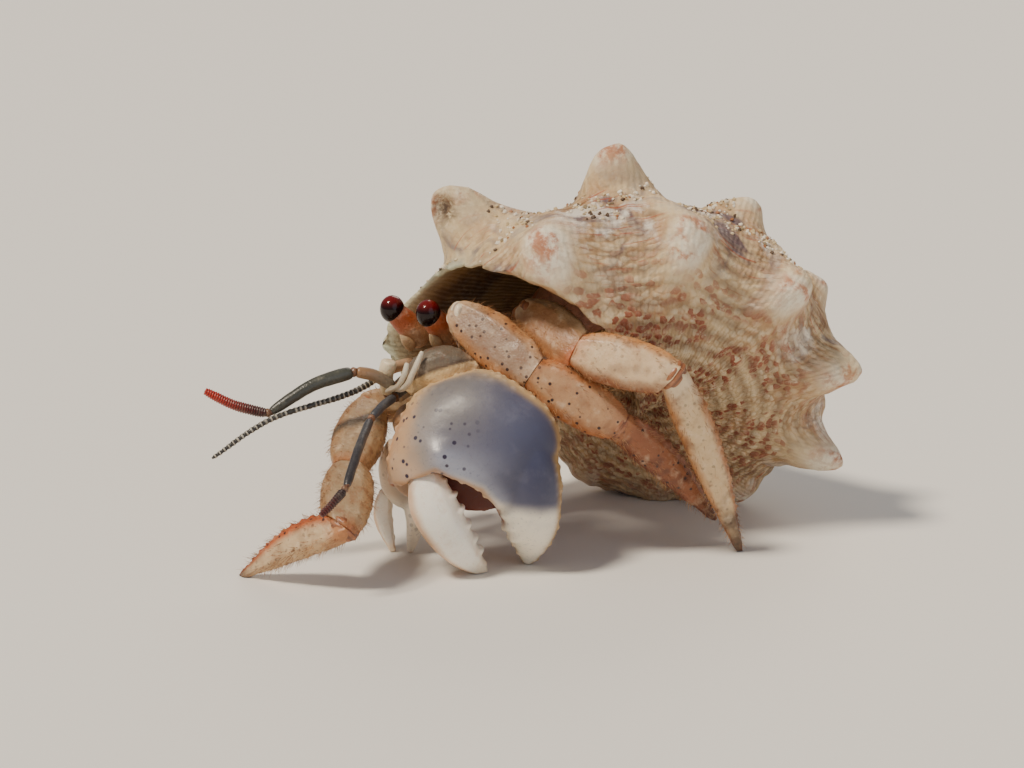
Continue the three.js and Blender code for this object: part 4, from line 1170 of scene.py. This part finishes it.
# the shield lies on a flat floor, and the thorax ends in a flat roof under it
shield = limb([(1.5, -2.0, 24.2), (2.1, 3.0, 24.4), (2.8, 8.2, 24.0)], [2.8, 3.4, 2.7], [2.2, 2.4, 2.2])
thorax = limb([(1.4, -1.9, 20.6), (1.8, 3.5, 20.0), (2.4, 10.2, 20.4)], [2.6, 3.4, 3.0], [4.0, 4.6, 3.8])
bodyFinish = look("#c79c74 #a8764e #b98a60 #d8b695 #b98a60", 0.4, 0.4)
for name, spec, height, up in (("shield", shield, 23.7, 1.0), ("thorax", thorax, 23.5, -1.0)):
    limbPiece(name, spec, bodyFinish, bodyCuticle, "carapace", [((0, 0, height), np.array([0, 0, up]), 0.0)],
              90, 80)


def hollowMiddles(*phis):
    return [onSpiral(phi, *shell["middle"]) for phi in phis]


abdomen = limb([(3, 11.4, 21.2), (8.4, 12, 26), *hollowMiddles(-0.5, -0.9, -1.3, -1.7, -2.1, -2.5)],
               [2.6, 4.2, 5.4, 5.8, 5.8, 5.2, 4.6, 3.4], [2.4, 4, 5.2, 5.6, 5.6, 5, 4.4, 3.2])
abdomenFinish = look("#c98f74 #b5745a #d7a68c #b98a60 #c98f74", 0, 0, relief=2.0)
tailFan = limb(hollowMiddles(-2.53, -2.75, -2.95), [2.2, 2.8, 1.6], [1.2, 1.4, 0.8])
limbPiece("abdomen", abdomen, abdomenFinish, softSkin, "soft_skin", (), 140, 80)
limbPiece("tail_fan", tailFan, plainTan, legCuticle, "leg_plate", (), 50, 40)

eyes = {
    "stalks": {"left": [(2.95, -2.55, 24.6), (2.65, -6.2, 28.0)],
               "right": [(-0.75, -2.55, 23.9), (-2.65, -6.2, 28.0)]},
    "stalkWidths": [1.75, 1.55, 1.2], "stalkDepths": [1.75, 1.6, 1.35],
    "radii": (1.42, 1.50, 1.62),
    "cut": 0.55,             # the cornea starts this far behind its middle
    "scaleAside": (0.3, -1.6, -1.2),   # from the stalk's axis to the scale on its lower front
}


def corneaGrid(centre, ahead, radii, rows=70, around=72):
    # a ball stretched by its three radii, whose back is pressed flat
    latitude, angle = np.meshgrid(np.linspace(0, math.pi, rows),
                                  np.linspace(0, turnRound, around, endpoint=False), indexing="ij")
    ball = np.stack([np.sin(latitude) * np.cos(angle), np.sin(latitude) * np.sin(angle),
                     np.cos(latitude)], -1)
    points = pressedFlat(centre + ball * np.array(radii), centre, ahead, -eyes["cut"])
    return points, {"length": latitude, "angle": angle}, ball


for side, stalk in eyes["stalks"].items():
    start, eye = (np.array(p) for p in stalk)
    ahead = unit(eye - start)
    grid = limbGrid(limb([start, (start + eye) / 2, eye + ahead * 0.2], eyes["stalkWidths"],
                         eyes["stalkDepths"], faceWay, blunt=5.0, square=2.0), 90, 72)
    points, t = grid["points"], grid["t"]
    paint = painted(points, "#b99270", (smoothStep(0.3, 0.75, t + 0.05 * softNoise(points, 1.0)), "#b8673a"),
                    (smoothStep(0.86, 0.96, t), "#7d3a20"))
    points = swell(points, 0.05 * layeredNoise(points, 1.2, 15))
    points = pressedFlat(points, eye, -ahead, eyes["cut"] + 0.02)
    gridPiece(f"{side}_eyestalk_skin", points, grid, bodyCuticle, "eyestalk", [f"{side}_eyestalk"], paint,
              spots=0 * t)
    root = start + ahead * 0.8 + np.array(eyes["scaleAside"])
    grid = limbGrid(limb([root, root + ahead * 1.3, root + ahead * 2.5], [0.7, 0.6, 0.12], [0.4, 0.35, 0.1],
                         faceWay, blunt=4.0, square=2.0), 40, 32)
    paint = painted(grid["points"], "#a9825c", (grid["t"], "#e2cba6"))
    gridPiece(f"{side}_acicle", grid["points"], grid, bodyCuticle, "eyestalk", (), paint)
    points, grid, ball = corneaGrid(eye, ahead, eyes["radii"])
    # painted light: the upper part of the cornea is painted wine red, the lower near black
    paint = painted(points, "#160405", (smoothStep(0.1, 0.9, ball[..., 2]) * 0.9, "#6e0f10"))
    gridPiece(f"{side}_cornea_skin", points, grid, corneaFinish, "cornea", [f"{side}_cornea"], paint)

# the stretches of each feeler: name, path, half thickness at both ends and colours at both ends
feelers = {
    "right_antennule": [
        ("base", [(0.2, -3.4, 22.2), (0.1, -6.5, 20.6), (0.2, -9.2, 19.6)], 0.7, 0.65, "#a08e78 #b39c80"),
        ("stem", [(0.1, -9.7, 19.8), (-1.2, -11.6, 21.2), (-2.5, -13.1, 21.7)], 0.72, 0.68,
         "#94897a #a5825f"),
        ("upper", [(-2.8, -13.6, 21.7), (-5.2, -17.6, 20.6), (-7.9, -21.8, 17.9)], 0.85, 0.6,
         "#5c5d54 #45463f"),
        ("whip", [(-8.2, -22.2, 17.8), (-10.4, -24.8, 18.9), (-12.8, -27.2, 20.7)], 0.6, 0.5,
         "#5a1714 #c4391f"),
    ],
    "left_antennule": [
        ("base", [(1.9, -3.4, 22.1), (1.7, -7.4, 20.5), (1.5, -10.9, 19.0)], 0.6, 0.55, "#8b867e #6f6d6a"),
        ("stem", [(1.6, -11.5, 18.9), (2.2, -14.0, 18.6), (2.4, -16.3, 17.7)], 0.55, 0.5, "#65656a #55565c"),
        ("upper", [(2.6, -17.0, 17.4), (4.8, -21.6, 15.6), (6.9, -26.4, 12.5)], 0.52, 0.5,
         "#57565a #474347"),
        ("whip", [(6.9, -26.9, 12.1), (6.8, -28.4, 11.2), (6.1, -29.8, 9.9)], 0.48, 0.42, "#432829 #6f2b22"),
    ],
    "right_antenna": [
        ("base", [(-2.0, -3.2, 21.2), (-2.6, -6.2, 21.0), (-2.9, -8.6, 20.3)], 0.75, 0.6, "#cdb093 #c7a98c"),
        ("whip", [(-2.9, -9.2, 20.0), (-3.8, -13.6, 18.9), (-7.4, -22.4, 17.2), (-11.0, -28.2, 13.4)],
         0.4, 0.26, "#4b4640 #3a3733"),
    ],
    "left_antenna": [
        ("base", [(4.4, -3.0, 20.8), (4.3, -5.2, 19.8), (4.0, -6.8, 18.6)], 0.65, 0.55, "#cdb093 #c7a98c"),
        ("whip", [(3.9, -7.2, 18.0), (3.4, -7.6, 14.0), (4.2, -6.4, 7.0), (5.6, -4.6, 2.2)],
         0.4, 0.26, "#4b4640 #3a3733"),
    ],
    "right_maxilliped": [
        ("lower", [(-0.6, -3.2, 18.6), (-0.8, -6.0, 18.6), (-0.9, -8.0, 18.0)], 0.95, 0.9,
         "#cdb08c #d8c2a4"),
        ("upper", [(-0.4, -9.6, 22.7), (-0.9, -9.7, 21.0), (-1.3, -9.0, 18.6)], 1.0, 0.75,
         "#f2e4c8 #dcc8a6"),
    ],
    "left_maxilliped": [
        ("lower", [(2.4, -3.2, 18.4), (2.6, -5.8, 18.8), (2.4, -7.6, 19.6)], 0.9, 0.8, "#cdb08c #d8c2a4"),
        ("upper", [(2.6, -8.0, 20.4), (2.6, -7.7, 21.6), (2.8, -7.2, 22.9)], 0.55, 0.5, "#d9cdb6 #cfc4ae"),
    ],
    "right_palp": [
        ("", [(-0.3, -10.3, 19.2), (3.3, -12.8, 20.7), (4.5, -13.2, 22.1), (4.6, -12.7, 23.5)],
         0.36, 0.3, "#b9ad98 #d8d0be"),
    ],
    "left_palp": [
        ("", [(0.2, -10.3, 19.6), (4.4, -13.0, 20.7), (5.5, -12.8, 22.5), (5.9, -11.6, 24.8)],
         0.4, 0.32, "#b9ad98 #d8d0be"),
    ],
}
# the rings of the whips: millimetres apart, where on the wave the shade starts and ends, weight and shade
rings = {"antennule": (0.28, -0.2, -0.9, 0.5, "#1d0c0c"), "antenna": (0.62, 0.55, 0.95, 0.9, "#d9d3c4")}

for whole, stretches in feelers.items():
    feeler = whole.split("_")[1]
    material, slot = (feelerCuticle, "feeler") if feeler in rings else (mouthCuticle, "mouthpart")
    for stretch, through, start, end, colours in stretches:
        # a thin limb; the radius of a whip swells by 0.05 cos(2 pi length / spacing)
        ringed = stretch == "whip"
        thick = [start, (start + end) / 2, end]
        rows, around = (260, 28) if ringed else (80, 44)
        grid = limbGrid(limb(through, thick, thick, faceWay, blunt=6.0, square=2.0), rows, around)
        points = grid["points"]
        ground, tip = colours.split()
        layers = [(smoothStep(0.1, 0.95, grid["t"]), tip)]
        relief = 0.03 * softNoise(points, 0.8, 3)
        if ringed:
            spacing, low, high, weight, shade = rings[feeler]
            wave = np.cos(turnRound * grid["length"] / spacing)
            relief = relief + 0.05 * wave * min(1.0, start * 2)
            layers.append((smoothStep(low, high, wave) * weight, shade))
        paint = painted(points, ground, *layers)
        points = swell(points, relief * smoothStep(0, 0.3, grid["closing"]))
        name = f"{whole}_{stretch}".strip("_")
        gridPiece(f"{name}_skin", points, grid, material, slot, [name] if stretch else [], paint,
                  spots=0 * grid["t"])

# soft joints bridge the gaps between the stretches
for whole, stretches in feelers.items():
    for first, second in zip(stretches, stretches[1:]):
        start = np.array(first[1][-1])
        end = np.array(second[1][-1 if whole == "right_maxilliped" else 0])
        reach = (end - start) / 2
        radius = 0.8 * min(first[3], second[2])
        jointMembrane(f"{whole}_{second[0]}_joint", (start + end) / 2, reach + unit(reach) * 0.55, faceWay,
                      radius, radius, "#8a6a50")
print("head made")


bristles = {
    "seed": 11,
    "length": (0.5, 1.25),
    "radius": 0.032,
    "thinning": 0.92,        # the share of the radius lost from root to tip
    "sides": 3,
    "rings": 4,
    "lean": 0.9,
    "scatter": 0.22,
    "bend": 0.12,
    "sunk": 0.08,
    "clear": 0.05,           # tips stay this far above the floor
    "patch": 0.003,          # the side of a bristle's patch on the unwrap
    "perPiece": {"merus": 90, "carpus": 240, "propodus": 330, "dactyl": 520},
}


def bristleMesh(roots, ways, lengths, bends, patches):
    # each bristle: root + way s length + bend s^2 length, radius (1 - thinning s)
    rings, sides = bristles["rings"], bristles["sides"]
    s = np.linspace(0, 1, rings + 1)[None, :, None]
    middle = roots[:, None] + (ways[:, None] * s + bends[:, None] * s ** 2) * lengths[:, None, None]
    side = unit(np.cross(ways, [0.3, 0.5, 0.81]))
    other = np.cross(ways, side)
    angle = np.linspace(0, turnRound, sides, endpoint=False)
    angle = angle[None, :, None]
    spokes = side[:, None] * np.cos(angle) + other[:, None] * np.sin(angle)
    radius = bristles["radius"] * (1 - bristles["thinning"] * s[:, :-1, :])
    tube = middle[:, :-1, None] + spokes[:, None] * radius[..., None]
    count, perHair = len(roots), rings * sides + 2
    foot, tip = perHair - 2, perHair - 1
    vertices = np.concatenate([tube.reshape(count, -1, 3), middle[:, :1], middle[:, -1:]], 1)
    base = (np.arange(count) * perHair)[:, None, None]
    ring, corner = np.meshgrid(np.arange(rings - 1) * sides, np.arange(sides), indexing="ij")
    after = (corner + 1) % sides
    quads = np.stack([ring + corner, ring + after, ring + sides + after, ring + sides + corner], -1)
    k, last = np.arange(sides), (rings - 1) * sides
    caps = np.concatenate([np.stack([0 * k + foot, (k + 1) % sides, k], -1),
                           np.stack([0 * k + tip, last + k, last + (k + 1) % sides], -1)])
    quads, caps = (quads.reshape(1, -1, 4) + base).reshape(-1, 4), (caps[None] + base).reshape(-1, 3)
    local = np.zeros((perHair, 2))
    local[:foot, 0] = np.tile(np.arange(sides) / sides, rings)
    local[:foot, 1] = np.repeat(np.arange(rings) / rings, sides)
    local[tip] = (0.5, 1.0)
    patch = (patches[:, None] + local[None] * bristles["patch"]).reshape(-1, 2)
    mesh = meshFromArrays("leg_bristles", vertices.reshape(-1, 3), [quads, caps],
                          [patch[quads], patch[caps]])
    mesh.uv_layers["surface"].name = "OFBake"
    return mesh


def growBristles():
    # most of them along the edges of the leg pieces, leaning towards the tips
    random = np.random.default_rng(bristles["seed"])
    roots, ways = [], []
    for grid, kind in bristleGrounds:
        points = grid["points"]
        ahead = unit(np.gradient(points, axis=0)).reshape(-1, 3)
        edge = smoothStep(0.25, 0.8, np.abs(grid["across"])) + 0.12
        weight = edge * smoothStep(0.06, 0.12, grid["t"]) * smoothStep(0.99, 0.94, grid["t"])
        weight = weight * np.linalg.norm(np.roll(points, -1, 1) - points, axis=-1)
        weight = weight * np.gradient(grid["length"], axis=0) * (points[..., 2] > 0.8)
        chosen = random.choice(weight.size, bristles["perPiece"][kind], p=(weight / weight.sum()).ravel())
        roots.append(points.reshape(-1, 3)[chosen])
        lean = outwardNormals(points).reshape(-1, 3)[chosen] + bristles["lean"] * ahead[chosen]
        ways.append(unit(lean + random.normal(0, bristles["scatter"], (len(chosen), 3))))
    roots, ways = np.concatenate(roots), np.concatenate(ways)
    lengths = random.uniform(*bristles["length"], len(roots))
    bends = random.normal(0, bristles["bend"], (len(roots), 3))
    keep = (roots + (ways + bends) * lengths[:, None])[:, 2] > bristles["clear"]
    roots, ways, lengths, bends = (values[keep] for values in (roots, ways, lengths, bends))
    roots = roots - ways * bristles["sunk"]
    count = len(roots)
    across = math.ceil(math.sqrt(count))
    patches = np.stack([np.arange(count) % across, np.arange(count) // across], -1) / across
    patches = patches * 0.99 + bristles["patch"]
    mesh = bristleMesh(roots, ways, lengths, bends, patches)
    addPiece("leg_bristles", mesh, bristleFinish)
    print("bristles:", count)


sand = {
    "seed": 5, "count": 900, "size": (0.14, 0.34), "turns": (-1.45, -0.02), "places": (0.7, 4.7),
    "flatness": 0.5,         # the least upward part of the normal where a grain stays
    "knobMost": 0.75,        # no grains near the tops of the knobs
    "lift": 0.1,
}


def scatterSand():
    # lumps of twelve corners, golden-ratio rectangles pushed about, sunk almost halfway into the shell
    random = np.random.default_rng(sand["seed"])
    g = (1 + math.sqrt(5)) / 2
    corners = unit([(-1, g, 0), (1, g, 0), (-1, -g, 0), (1, -g, 0), (0, -1, g), (0, 1, g), (0, -1, -g),
                    (0, 1, -g), (g, 0, -1), (g, 0, 1), (-g, 0, -1), (-g, 0, 1)])
    faces = np.array([(0, 11, 5), (0, 5, 1), (0, 1, 7), (0, 7, 10), (0, 10, 11), (1, 5, 9), (5, 11, 4),
                      (11, 10, 2), (10, 7, 6), (7, 1, 8), (3, 9, 4), (3, 4, 2), (3, 2, 6), (3, 6, 8),
                      (3, 8, 9), (4, 9, 5), (2, 4, 11), (6, 2, 10), (8, 6, 7), (9, 8, 1)])
    phi, place = (random.uniform(*sand[key], sand["count"] * 3)[:, None] for key in ("turns", "places"))
    outside = np.zeros(phi.shape)
    centres, turn, knobs = whorlSurface(phi, place, outside)[:3]
    step, other = whorlSurface(phi + 0.01, place, outside)[0], whorlSurface(phi, place + 0.03, outside)[0]
    normals = unit(np.cross(step - centres, other - centres))[:, 0]
    normals = normals * np.sign(normals @ np.array([0.0, -0.3, 1.0]))[:, None]
    relief = shellRelief(centres, turn, place, knobs, outside == 0)[0]
    centres = centres[:, 0] + normals * relief
    keep = (normals[:, 2] > sand["flatness"]) & (knobs[:, 0] < sand["knobMost"])
    keep = keep & (layeredNoise(centres, 3.0, 93) > 0.0)
    centres, normals = (values[keep][:sand["count"]] for values in (centres, normals))
    count = len(centres)
    size = random.uniform(*sand["size"], count)
    shape = corners[None] * random.uniform(0.7, 1.25, (count, 12, 1))
    shape = shape * random.uniform(0.7, 1.1, (count, 1, 3))
    vertices = (centres + normals * size[:, None] * sand["lift"])[:, None] + shape * size[:, None, None]
    indices = (faces[None] + 12 * np.arange(count)[:, None, None]).reshape(-1, 3)
    pick = random.uniform(0, 1, count)
    shades = painted(centres, "#cdb68c", (smoothStep(0.3, 0.7, pick), "#efe6d4"),
                     (smoothStep(0.16, 0.1, pick), "#5a4636"), (smoothStep(0.9, 0.95, pick), "#a36a42"))
    mesh = meshFromArrays("sand_grains", vertices.reshape(-1, 3), [indices], paint=np.repeat(shades, 12, 0))
    mesh.polygons.foreach_set("use_smooth", np.zeros(len(mesh.polygons), bool))
    addPiece("sand_grains", mesh, sandFinish)
    print("sand grains:", count)


growBristles()
scatterSand()


def buildFloor(size=12.0, below=0.0001):
    mesh = bpy.data.meshes.new("floor")
    corners = [(-size, -size), (size, -size), (size, size), (-size, size)]
    mesh.from_pydata([(x, y, -below) for x, y in corners], [], [(0, 1, 2, 3)])
    mesh.materials.append(floorFinish)
    floor = placeObject("floor", mesh)


view = {
    "place": (134.84, -178.17, 65.8), "forward": (-0.561, 0.801, -0.208), "focalPixels": 1911.0,
    "sensor": 36.0, "imageWidth": 1024.0,
}
lamps = {
    # ways are from the crab to the lamp, spread is the width of the lamp seen from it, in degrees
    "key": {"way": (-0.18, -0.53, 0.84), "spread": 11, "power": 3.4, "colour": "#fff1dc"},
    "fill": {"way": (0.85, -0.25, 0.35), "spread": 50, "power": 0.45, "colour": "#e4ecff"},
    "rim": {"way": (-0.25, 0.75, 0.6), "spread": 30, "power": 0.7, "colour": "#fff4e6"},
}
room = {"colour": "#eceef2", "power": 0.28}


def placedAt(way, place):
    # a camera or lamp looks along its own -Z, with +Y up
    back = unit(-np.array(way))
    right = unit(np.cross([0, 0, 1], back))
    matrix = Matrix((right, np.cross(back, right), back)).transposed().to_4x4()
    matrix.translation = (np.array(place) + crabOrigin) * millimetre
    return matrix


def buildCamera():
    lens = bpy.data.cameras.new("camera")
    lens.sensor_width = view["sensor"]
    lens.lens = view["sensor"] * view["focalPixels"] / view["imageWidth"]
    lens.clip_start = 0.01
    camera = placeObject("camera", lens)
    camera.matrix_world = placedAt(view["forward"], view["place"])
    bpy.context.scene.camera = camera


def buildLights():
    for name, lamp in lamps.items():
        light = bpy.data.lights.new(name, "SUN")
        light.angle = math.radians(lamp["spread"])
        light.energy = lamp["power"]
        light.color = linearColour(lamp["colour"])[:3]
        way = np.array(lamp["way"])
        placeObject(name, light).matrix_world = placedAt(-way, way * 400)
    world = bpy.data.worlds.new("studio")
    world.use_nodes = True
    background = next(node for node in world.node_tree.nodes if node.type == "BACKGROUND")
    background.inputs[0].default_value = linearColour(room["colour"])
    background.inputs[1].default_value = room["power"]
    bpy.context.scene.world = world


buildFloor()
buildCamera()
buildLights()
print("stage, light and camera made")
